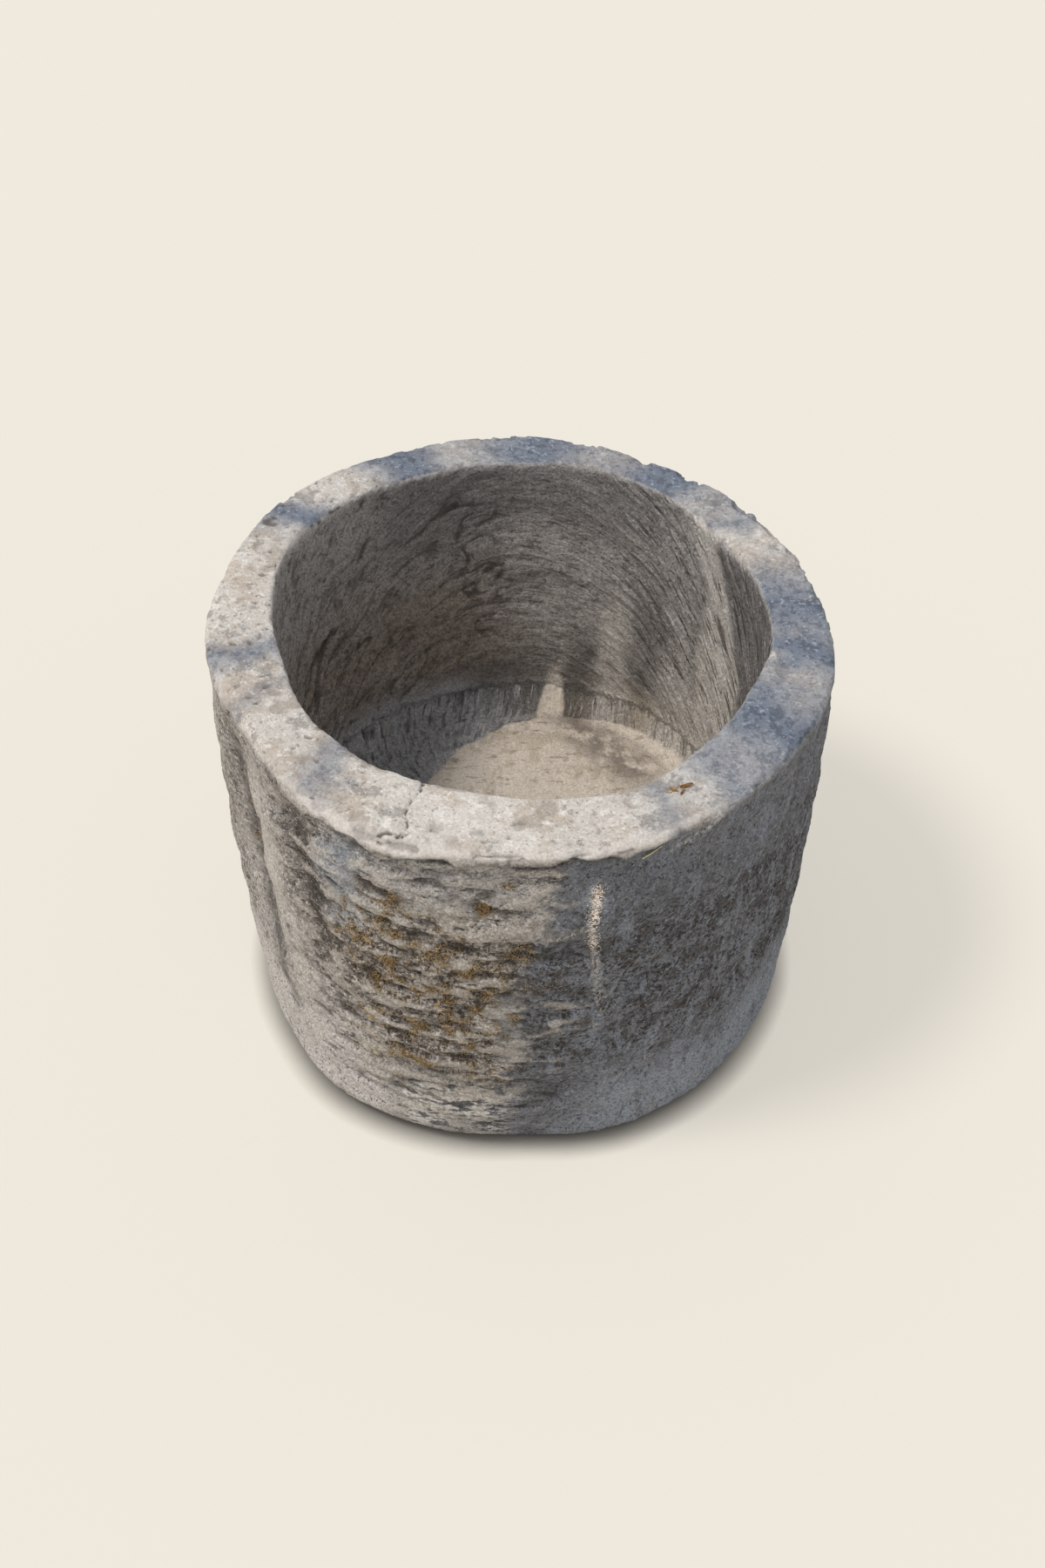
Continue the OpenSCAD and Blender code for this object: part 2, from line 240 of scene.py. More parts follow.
# the skin as rows of points round the block: sole, foot, wall, rim, cavity, floor and drain
def blockSkin(stepAlong, turns):
    b = block
    a = np.arange(turns)[None, :] * 360 / turns
    rimZ = lambda r: b["height"] - b["rimFall"] * r * cosD(a) / (2 * b["rimRadius"])
    outerEdge = np.minimum(b["rimRound"] + swelling(b["outerBites"], a), b["rimWidth"] / 3)
    mouthEdge = np.minimum(b["mouthRound"] + swelling(b["mouthBites"], a), b["rimWidth"] / 4)
    mouthR = b["rimRadius"] - b["rimWidth"]
    edgeZ = rimZ(b["rimRadius"]) - outerEdge
    mouthZ = rimZ(mouthR)
    cornerZ = b["floor"] + b["floorRound"]
    cornerR = cavityRadius(a, cornerZ) - b["floorRound"]
    footR = wallRadius(a, b["footRound"]) - b["footRound"]
    seatR = b["drainRadius"] + b["seat"]

    def sole(s):
        return place(a, lerp(b["drainRadius"], footR, s), 0 * a)

    def foot(s):
        return place(a, footR + b["footRound"] * sinD(90 * s), b["footRound"] * (1 - cosD(90 * s)))

    def wall(s):
        z = lerp(b["footRound"], edgeZ, s)
        return place(a, wallRadius(a, z), z)

    def edge(s):
        r = wallRadius(a, edgeZ) - outerEdge * (1 - cosD(90 * s))
        return place(a, r, edgeZ + outerEdge * sinD(90 * s))

    def mouth(s):
        r = cavityRadius(a, mouthZ - mouthEdge) + mouthEdge * (1 - sinD(90 * s))
        return place(a, r, mouthZ - mouthEdge * (1 - cosD(90 * s)), b["mouthShift"])

    def rim(s):
        waves = b["rimWave"] * sinD(180 * s) * sinD(5 * a + 200 * s) * cosD(11 * a)
        return lerp(edge(1), mouth(0), s) + place(a, 0, waves)

    def cavity(s):
        z = lerp(mouthZ - mouthEdge, cornerZ, s)
        return place(a, cavityRadius(a, z), z, b["mouthShift"])

    def corner(s):
        r = cornerR + b["floorRound"] * cosD(90 * s)
        return place(a, r, cornerZ - b["floorRound"] * sinD(90 * s), b["mouthShift"])

    def floor(s):
        p = lerp(corner(1), place(a, seatR, b["floor"]), s)
        t = 360 * p / b["floorPitch"]
        bumps = b["floorWave"] * sinD(180 * s) * sinD(t[..., 0] + 30) * cosD(1.19 * t[..., 1])
        return p + place(a, 0, bumps)

    def seat(s):
        return place(a, lerp(seatR, b["drainRadius"], s), b["floor"])

    def drain(s):
        return place(a, b["drainRadius"], lerp(b["floor"], 0, s))

    # each part's length along the skin in mm, and how many times coarser its rows may be
    parts = [(sole, 270, 12), (foot, 53, 1), (wall, 445, 1), (edge, 18, 1), (rim, 52, 1), (mouth, 12, 1),
             (cavity, 295, 1), (corner, 60, 1), (floor, 180, 1), (seat, 24, 2), (drain, 145, 12)]
    rows, names = [], []
    for shape, length, coarse in parts:
        count = max(2, round(length / stepAlong / coarse))
        rows += [shape(k / count).reshape(1, turns, 3) for k in range(count)]
        names += [shape.__name__] * count
    return np.concatenate(rows), np.array(names), np.repeat(a, len(rows), axis=0)


# outward normals of a skin whose rows and columns close on themselves
def skinNormals(p):
    across = np.roll(p, -1, axis=1) - np.roll(p, 1, axis=1)
    along = np.roll(p, -1, axis=0) - np.roll(p, 1, axis=0)
    n = np.cross(across, along)
    return n / np.maximum(np.linalg.norm(n, axis=-1, keepdims=True), 1e-9)


# 1 on the named parts, spread over a few rows so that one finish runs into the next
def onParts(names, wanted, spread):
    flat = np.isin(names, wanted.split()).astype(float)
    kernel = np.ones(spread) / spread
    return np.convolve(np.r_[flat[-spread:], flat, flat[:spread]], kernel, "same")[spread:-spread][:, None]


# what the mason's tools, frost and wear left on the skin, in mm outwards
wear = {
    "ledgePitch": 16, "ledgeRise": 0.22, "ledgeStep": 2.6, "plateStep": 2, "flankStroke": 1.1,
    "lump": 1, "nodule": 1.3, "grain": 0.9, "pitCell": 8, "pitDepth": 2.2, "pitFrom": 0.7, "pitTo": 0.86,
    "strokeWidth": 7.5, "strokeLength": 60, "strokeDepth": 2, "pocketDepth": 1.8, "riftDepth": 2.2,
    "clawPitch": 12, "clawWidth": 6.5, "clawDepth": 1.5, "scratch": 0.9,
    "spall": 0.9, "chip": 6, "underLip": 6, "lipAt": 480, "lipSway": 12,
}
# cracks of the rim: points by x and y, depth and half-width, all in mm
cracked = [([(-90, -228), (-95, -250), (-104, -272), (-103, -288), (-112, -305)], 3.2, 1),
           ([(-96, -299), (-112, -306), (-128, -300)], 5.12, 1.7),
           ([(-71, -262), (-62, -268), (-58, -281)], 1.6, 1)]


# how far a place lies from the line through some points
def distanceTo(way, x, y):
    best = 1e9
    for (x0, y0), (x1, y1) in zip(way, way[1:]):
        dx, dy = x1 - x0, y1 - y0
        t = np.clip(((x - x0) * dx + (y - y0) * dy) / (dx * dx + dy * dy), 0, 1)
        best = np.minimum(best, np.hypot(x - x0 - t * dx, y - y0 - t * dy))
    return best


# the painted pool of sunlight at the back of the floor, round on the left, raised a little as a low bed,
# and its thin tongue of painted light up the wall
sunPool = {"x": 53, "y": 62, "radius": 166, "sway": 12, "thick": 2.5, "below": 260,
        "tongueAt": 80.5, "tongueTop": 206, "tongueRise": 60, "tongueHalf": 4.4, "taper": 1.3,
        "tongueSoft": 0.3, "tongueFrom": 140, "tongueBehind": 200}


def sunPoolTongue(p):
    x, y, z = np.moveaxis(p, -1, 0)
    at = np.degrees(np.arctan2(y - block["mouthShift"], x))
    up = np.clip((sunPool["tongueTop"] - z) / sunPool["tongueRise"], 0, 1)
    soft = sunPool["tongueSoft"]
    half = sunPool["tongueHalf"] * up ** sunPool["taper"] - soft
    lightTongue = ease(half - np.abs(turnFrom(at, sunPool["tongueAt"])), -soft, soft)
    return lightTongue * (z > sunPool["tongueFrom"]) * (y > sunPool["tongueBehind"])


def sunPoolBed(p):
    x, y, z = np.moveaxis(p, -1, 0)
    edge = sunPool["radius"] + sunPool["sway"] * noiseAt(p, 34, 48, 4)
    bed = ease(edge - np.hypot(x - sunPool["x"], y - sunPool["y"]), -3, 3)
    return np.maximum(bed * (z < sunPool["below"]), sunPoolTongue(p))


# how far across the tool's strokes a point lies, in mm. The strokes climb the wall outside, fan out
# from the back of the cavity, and run in towards the middle on the floor.
tool = {"outsideAt": 320, "outsideSlope": 62, "fan": 1.5, "fanFlat": 250, "floorR": 222, "sway": 9,
        "wallEnd": 166}


# the part of the round corner that is worked as floor and not as wall
def onFoot(p, names):
    return (names == "corner")[:, None] & (p[..., 2] < tool["wallEnd"] + 4 * noiseAt(p, 12, 56, 2))


def acrossTool(p, a, names):
    x, y, z = np.moveaxis(p, -1, 0)
    r = np.hypot(x, y - block["mouthShift"])
    u = alongRim(turnFrom(a, tool["outsideAt"]))
    outside = z * cosD(tool["outsideSlope"]) - u * sinD(tool["outsideSlope"])
    turn = turnFrom(a, 90)
    arc = turn * math.radians(1) * (block["rimRadius"] - block["rimWidth"])
    fan = tool["fan"] * (np.sqrt(arc ** 2 + tool["fanFlat"] ** 2) - tool["fanFlat"])
    inwards = np.maximum(block["rimRadius"] - block["rimWidth"] - 8 - r, 0)
    cavity = z - 0.6 * inwards * (z < block["floor"] + block["floorRound"]) + fan
    lean = 0.45 - 1.35 * ease(-turn, -20, 60)
    floor = turn * math.radians(1) * tool["floorR"] + lean * (r - tool["floorR"])
    onFloor = np.isin(names, ["floor", "seat"])[:, None] | onFoot(p, names)
    onCavity = np.isin(names, ["cavity", "mouth", "corner"])[:, None]
    across = np.where(onFloor, floor, np.where(onCavity, cavity, outside))
    return across + tool["sway"] * noiseAt(p, 60, 60, 2)


# noise that is long one way and narrow across
def streaked(p, across, length, width, seed):
    return noiseAt(np.stack([p[..., 0] / length, p[..., 1] / length, across / width], axis=-1), 1, seed, 2)


# tool strokes, with a sharp valley between each two
def strokes(p, across, length, width, seed):
    return np.abs(streaked(p, across, length, width, seed)) * 2 - 0.6


# the broken lower edge of the rim's pale skin
def lipHeight(p):
    return wear["lipAt"] + wear["lipSway"] * noiseAt(p, (26, 26, 400), 34, 4)


def relief(p, a, names, stepAlong):
    noise, on = partial(noiseAt, p), partial(onParts, names)
    w = wear
    x, y, z = np.moveaxis(p, -1, 0)
    spread = max(3, int(round(10 / stepAlong)))
    outside = on("foot wall", spread)
    edge = on("edge", spread)
    rim = on("rim edge mouth", spread)
    inside = on("cavity corner", 2 * spread)
    floor = on("floor", 2 * spread)
    hidden = on("sole drain seat", 3)
    foot = inside * onFoot(p, names)
    inside, floor = inside - foot, floor + foot
    across = acrossTool(p, a, names)

    # outside: broken ledges on the front left, plainer round the back, diagonal tooling on the right
    flaky = 0.18 + 0.82 * window(a, z, (226, 276), (60, 470), 12, 40)
    warp = 11 * noise((60, 60, 45), 1) + 8 * noise((18, 18, 12), 2, 2)
    t = (z + warp + 0.12 * x) / w["ledgePitch"]
    saw = t - np.floor(t)
    saw = np.minimum(saw / w["ledgeRise"], (1 - saw) / (1 - w["ledgeRise"]))
    broken = ease(noise((30, 30, 14), 3, 2), -0.2, 0.2)
    q = 2.6 * noise((30, 30, 11), 30, 3)
    plates = np.floor(q) + ease(q - np.floor(q), 0, 0.25)
    ledges = w["ledgeStep"] * flaky * broken * (saw - 1) + w["plateStep"] * flaky * (plates - 0.5)
    tooled = w["flankStroke"] * window(a, z, (284, 360), (0, 500), 12, 30) * strokes(p, across, 40, 8, 4)
    lumps = (w["lump"] * noise((45, 45, 30), 5, 2)
             + w["nodule"] * noise((13, 13, 7), 6, 3) * (0.5 + 0.7 * flaky))
    front = window(a, z, (234, 300), (440, 900), 8, 14)
    under = w["underLip"] * front * ease(lipHeight(p) - 3 - z, -1.2, 1.2)
    wallRelief = ledges + tooled + lumps - under - 1.3

    # rim: worn hollows, chips off both arrises, pits, mostly on the left
    spall = ease(noise((26, 26, 12), 51, 4), 0.22, 0.3)
    rimRelief = 0.9 * noise(40, 7, 2) + 0.45 * noise(8, 8, 3) - w["spall"] * spall - 0.9
    chipped = ease(noise((20, 20, 12), 9, 4), 0, 0.16)
    ragged = 0.35 + 0.65 * np.clip(hump(turnFrom(a, 258), 28) + hump(turnFrom(a, 45), 30), 0, 1)
    rimRelief = rimRelief - w["chip"] * chipped * ragged * (edge + 0.25 * on("mouth", spread))
    cracks = 0
    for way, depth, width in cracked:
        off = distanceTo(way, x + 6 * noise(11, 10, 3), y + 6 * noise(11, 11, 3))
        cracks = cracks + depth * hump(off, width) * ease(noise(9, 47), -0.7, 0.1)

    # cavity: strokes that fan out from the back, deepest on the right, and torn pockets on the left
    right = window(a, z, (-60, 66), (0, 600), 16, 30)
    cut = strokes(p, across, w["strokeLength"], w["strokeWidth"], 12)
    fineCut = strokes(p, across, 0.5 * w["strokeLength"], 0.55 * w["strokeWidth"], 13)
    torn = window(a, z, (92, 205), (175, 460), 14, 40)
    pockets = ease(streaked(p, across, 26, 11, 15), 0.22, 0.42)
    rift = hump(streaked(p, across, 44, 24, 53), 0.07) * ease(noise(45, 54, 2), 0, 0.25)
    rift = rift * torn * inside
    cavityRelief = (w["strokeDepth"] * (cut + 0.4 * fineCut) * (0.45 + 0.85 * right) - w["riftDepth"] * rift
                    - w["pocketDepth"] * torn * pockets + 0.8 * noise(34, 16, 2) - 0.2)

    # floor: short claw strokes by the wall at the back left, and crossing scratches on the middle
    r = np.hypot(x, y - block["mouthShift"])
    claws = sector(a, (86, 215), 14) * ease(r, 150, 185)
    nearWall = ease(r, 180, 225) * ease(np.abs(turnFrom(a, 270)), 2, 14)
    comb = 0.25 * sinD(360 * across / w["clawPitch"] + 160 * noise(24, 17))
    leaning = across + 0.7 * (r - tool["floorR"]) * claws
    ring = (claws + 0.6 * nearWall) * w["clawDepth"] * (strokes(p, leaning, 30, w["clawWidth"], 14) + comb)
    scratches = strokes(p, y * 0.91 - x * 0.42, 60, 7, 18) + strokes(p, y * 0.64 + x * 0.77, 50, 8, 19)
    bed = sunPoolBed(p)
    scratched = (0.5 + 0.9 * sector(a, (100, 225), 14)) * (1 - 0.8 * bed)
    floorRelief = (ring + w["scratch"] * scratches * scratched + noise(60, 20, 2)
                   + sunPool["thick"] * bed)

    # pits: where a lattice of round hollows meets the skin
    speck = noise(w["pitCell"], 21) + 0.35 * noise(5, 22)
    pitted = 0.35 + 0.65 * ease(np.abs(turnFrom(a, 190)), 130, 50)
    pit = ease(speck, w["pitFrom"], w["pitTo"])
    pits = pit * w["pitDepth"] * pitted * (rim + 0.7 * outside + 0.3 * inside)

    fine = w["grain"] * noise(5, 23, 2)
    depth = outside * wallRelief + rim * (rimRelief - cracks) + inside * cavityRelief + floor * floorRelief
    depth = (depth + fine - pits) * (1 - np.clip(hidden * 2, 0, 1)) * ease(z, 0, 6)
    masks = {"outside": on("foot wall", 3),
             "rim": on("rim edge mouth", 3),
             "inside": on("cavity corner", 3),
             "spall": spall * rim, "tooled": inside * right, "floor": floor,
             "pit": np.maximum(pit * pitted, rift), "toolAcross": across,
             "scored": floor * ease(np.abs(turnFrom(a, 270)), 2, 14) * (1 - 0.85 * bed)}
    masks["cuts"] = np.clip(inside + masks["scored"], 0, 1)
    masks["coarse"] = 1 - 0.5 * rim - 0.4 * floor * bed
    masks["proud"] = (outside * (ledges + 0.8 * lumps + 0.6 + 0.5 * shelves(a, z))
                      + rim * (0.3 * rimRelief - 1.2 * cracks) + 0.8 * inside * cavityRelief
                      + floor * (floorRelief - sunPool["thick"] * bed))
    return depth, masks


# the painted shade on the floor by x and y, the gash by direction and height, the ridge's highlight
# and lichen by height and direction
floorShadeWay = [(58, 210), (78, 195), (112, 157), (142, 132)]
gashWay = [(297, 455), (301, 464), (305.5, 476)]
ridgeWay = [(222, 283.1), (237, 283.3), (268, 284), (339, 282.6), (392, 282), (438, 283.2), (446, 283.6)]
# painted shade on the rim, blue-grey where shadow falls: direction, half-width in degrees, share
rimShadePlaces = [(6, 14, 1), (37, 4, 0.6), (56, 13, 1), (87, 14, 1), (116, 9, 1), (146, 6, 1),
              (192, 4, 0.7), (206, 3, 0.4), (231, 4, 0.6), (297, 4, 0.6), (311, 5, 0.5),
              (328, 14, 1), (350, 5, 0.7)]


# the pale line down the ridge: a painted highlight where the ridge catches the light, and where lichen
# grows
def ridgeLine(p, a, half):
    z = p[..., 2]
    heights, turns = zip(*ridgeWay)
    at = np.interp(z, heights, turns) + 0.7 * noiseAt(p, 12, 36, 3)
    return hump(turnFrom(a, at), half) * (z > heights[0]) * (z < heights[-1])


# zones of colour, as shares from 0 to 1, by direction and height in mm
def zones(p, a, names):
    noise, on = partial(noiseAt, p), partial(onParts, names)
    x, y, z = np.moveaxis(p, -1, 0)
    rough = 7 * noise(60, 31, 2)
    t = a + rough
    h = z + 5 * rough
    onWall = on("foot wall", 5)
    onRim = on("rim edge mouth", 5)
    onCavity = on("cavity corner", 3)
    onFloor = on("floor corner", 15)
    made = {}
    made["moss"] = window(t, h, (238, 271), (120, 410), 7, 60)

    # slate grey algae and painted shade of the flank turned from the light start on the front, further left
    # towards the foot, with ragged fingers, and a faint band of painted shade under the rim
    fingers = 2.6 * noise((26, 26, 8), 38, 2)
    wander = 16 * noise((70, 70, 150), 58, 3)
    starts = 270.5 + 0.05 * np.maximum(z - 330, 0) - 7.5 * ease(190 - z, 0, 110)
    band = 0.15 * window(t, h, (243, 290), (415, 462), 6, 18)
    slateAndShade = ease(turnFrom(a + fingers, starts), -1.2, 1.2) * ease(turnFrom(12, a + wander), -14, 14)
    made["slateAndShade"] = np.maximum(slateAndShade * (np.abs(turnFrom(a, 315)) < 90), band) * onWall
    made["runs"] = sector(a + wander, (4, 184), 14) * onWall
    made["splash"] = made["runs"] * ease(170 - h, 0, 130)
    made["ledged"] = onWall * (1 - 0.75 * made["runs"])
    made["mottle"] = window(t, h, (271, 346), (120, 385), 6, 60)
    made["pale"] = np.maximum.reduce([window(t, h, (190, 245), (-40, 170), 10, 50),
                                      0.5 * window(t, h, (205, 222), (150, 420), 6, 60),
                                      0.6 * window(t, h, (246, 274), (405, 470), 6, 30)])
    lip = lipHeight(p)
    made["arris"] = window(a, z, (225, 305), (400, 900), 10, 10) * ease(z - lip, -2, 2)
    made["arris"] = made["arris"] * on("wall edge", 3)
    # painted shadow in a thin band under the lip
    made["underLip"] = window(a, z, (230, 300), (400, 900), 10, 10) * hump(z - lip + 5, 4.5)
    way = [(alongRim(at), up) for at, up in gashWay]
    gash = ease(-distanceTo(way, alongRim(a), z + 4 * noise(9, 55)), -4, -1)
    # painted shade along the groove and in the hollow, and painted light on the bank between them
    for key, way, aside, half, turns, heights in (
            ("grooveShade", "groove", -1, 2.6, (185, 230), (120, 462)),
            ("bankLight", "groove", 9, 5, (190, 240), (150, 452)),
            ("hollowShade", "hollow", 1, 4.5, (212, 250), (262, 470))):
        at = channelAt(block[way], block["height"] - z) + aside
        made[key] = hump(turnFrom(a, at), half) * window(a, z, turns, heights, 5, 40)
    made["flakes"] = window(t, h, (246, 268), (12, 112), 5, 25)
    made["smooth"] = window(a, z, (265.8, 270.4), (172, 290), 0.8, 8)
    blue = window(t, h, (280, 352), (-20, 130), 10, 60)
    made["bluish"] = np.maximum(blue, 0.8 * window(a + 0.4 * rough, z, (235, 243), (330, 462), 3, 30))
    streakZ = lerp(350, 388, (a - 268) / 13) + 4 * noise(12, 32)
    streak = window(a, z, (268, 281), (335, 395), 2, 10) * hump(z - streakZ, 3.5)
    broken = ease(noise((9, 9, 12), 37, 3), -0.3, 0.1)
    made["streak"] = np.clip(streak + gash + ridgeLine(p, a, 0.4) * broken, 0, 1)

    # the rim
    # painted shade: blue-grey patches on the rim where shadow falls
    b = a + 5 * noise(30, 49, 3)
    rimShade = sum(share * hump(turnFrom(b, at), half) for at, half, share in rimShadePlaces)
    made["rimShade"] = np.clip(rimShade, 0, 1) * onRim

    # inside: painted sunlight in a leaning band on the right, earth low on the left, painted shade high up
    # and on the far right beyond the band, and painted shade where the wall meets the floor at the back
    bandAt = np.interp(z, (250, 322, 390, 480), (27, 26.5, 29.5, 38))
    bandHalf = np.interp(z, (250, 322, 390, 480), (10, 9.5, 5.5, 4.5))
    fromBand = turnFrom(a + 0.25 * rough, bandAt)
    made["paintedSunBand"] = onCavity * np.maximum.reduce([
        ease(bandHalf - np.abs(fromBand), -1.5, 1.5) * ease(z, 150, 200),
        0.6 * window(a, z, (18, 50), (120, 235), 6, 25),
        0.65 * window(a + 0.3 * rough, z, (60.5, 68), (150, 312), 2, 25)])
    made["earthy"] = window(t, h, (95, 205), (165, 350), 15, 60) * onCavity
    # painted shade on the wall beyond the painted sunlight, and high at the back
    far = window(a, z, (-40, 60), (60, 520), 3, 20) * ease(-fromBand - bandHalf, -2, 2)
    made["cavityShade"] = np.maximum(0.7 * window(t, h, (48, 130), (400, 520), 12, 40), far) * onCavity
    b = a + 3 * noise((22, 22, 40), 57, 3)
    r = np.hypot(x, y - block["mouthShift"])
    # painted shade in the corner where the wall meets the floor at the back
    made["backShade"] = np.clip(onCavity + onFloor, 0, 1) * ease(r, 170, 200) * np.maximum.reduce([
        0.7 * window(b, h, (50, 59.5), (130, 350), 5, 70),
        window(b, z, (69, 79), (100, 245), 2, 50),
        window(b, z, (81, 104), (166, 205), 6, 36)])
    # painted light: the tongue up the wall and the pool of sunlight on the floor
    made["lightTongue"] = sunPoolTongue(p) * onCavity * ease(z, 158, 176)
    made["sunPool"] = sunPoolBed(p) * on("floor corner cavity", 3)
    # painted shade on the floor between the patches of painted sunlight
    off = distanceTo(floorShadeWay, x + 16 * noise(30, 50, 3), y + 16 * noise(30, 52, 3))
    made["floorShade"] = ease(-off, -42, -4) * onFloor
    # painted light: the floor on the shaded left made pale
    made["claws"] = sector(t, (96, 220), 14) * onFloor
    # painted light on the floor at the right
    made["floorLight"] = sector(t, (2, 66), 12) * onFloor
    return made


# where moss and lichen grow: direction, height in mm, width, height of each cushion
growth = {
    "mossUpper": [(264.2, 411, 19, 15)],
    "mossMiddle": [(247.5, 321, 19, 16), (249, 413, 14, 10), (268.4, 447, 16, 9)],
    "mossLower": [(244, 276, 15, 15), (261, 317, 17, 12), (257.5, 267, 15, 12), (262.5, 259, 15, 12),
                  (252, 151, 19, 15)],
    "mossGroove": [(207, 366, 10, 22), (209, 330, 8, 14)],
}


def growthMasks(p, a, names):
    noise, on = partial(noiseAt, p), partial(onParts, names)
    z = p[..., 2]
    wall = on("wall", 3)
    made = {}
    for key, places in growth.items():
        cover = 0 * z
        for at, high, wide, tall in places:
            off = np.hypot(alongRim(turnFrom(a, at)) / wide * 2, (z - high) / tall * 2)
            cover = np.maximum(cover, np.clip(1.1 - off * (1 + 0.35 * noise(6, 41)), 0, 1))
        made[key] = cover * wall
    field = window(a + 5 * noise(40, 42), z, (239, 271), (120, 415), 6, 45)
    clumps = ease(noise((26, 26, 18), 43, 2), -0.2, 0.25) * ease(noise((7, 7, 9), 44), -0.05, 0.35)
    made["mossSpecks"] = field * clumps * wall
    flecks = ease(noise((9, 9, 12), 46, 2), -0.15, 0.25)
    made["lichenRidge"] = ridgeLine(p, a, 0.5) * flecks * wall
    return made


def buildStone(name, stepAlong, turns, faceLimit):
    p, names, a = blockSkin(stepAlong, turns)
    normals = skinNormals(p)
    depth, masks = relief(p, a, names, stepAlong)
    masks.update(zones(p, a, names))
    masks["proud"] = masks["proud"] - 0.7 * masks["slateAndShade"]
    masks.update(growthMasks(p, a, names))
    p = p + normals * depth[..., None]
    p[..., 2] = np.maximum(p[..., 2], 0)
    rows, cols = p.shape[:2]
    i = np.arange(rows)[:, None] * cols
    j = np.arange(cols)[None, :]
    up, over = (i + cols) % (rows * cols), (j + 1) % cols
    faces = np.stack([i + j, i + over, up + over, up + j], axis=-1).reshape(-1, 4)
    mesh = bpy.data.meshes.new(name)
    mesh.from_pydata((p.reshape(-1, 3) * mm).tolist(), [], faces.tolist())
    for key, value in masks.items():
        layer = mesh.attributes.new(key, "FLOAT", "POINT")
        layer.data.foreach_set("value", np.broadcast_to(value, (rows, cols)).astype(np.float32).ravel())
    mesh.shade_smooth()
    stone = addObject(name, mesh)
    if 2 * len(faces) > faceLimit:
        thin = stone.modifiers.new("thin", "DECIMATE")
        thin.ratio = faceLimit / (2 * len(faces))
        asPlainMesh(stone)
    print("stone:", len(stone.data.vertices), "points", len(stone.data.polygons), "faces")
    return stone


# the evaluated shape in place of the object's modifiers
def asPlainMesh(obj):
    bpy.context.view_layer.update()
    graph = bpy.context.evaluated_depsgraph_get()
    mesh = bpy.data.meshes.new_from_object(obj.evaluated_get(graph), depsgraph=graph)
    obj.modifiers.clear()
    obj.data = mesh
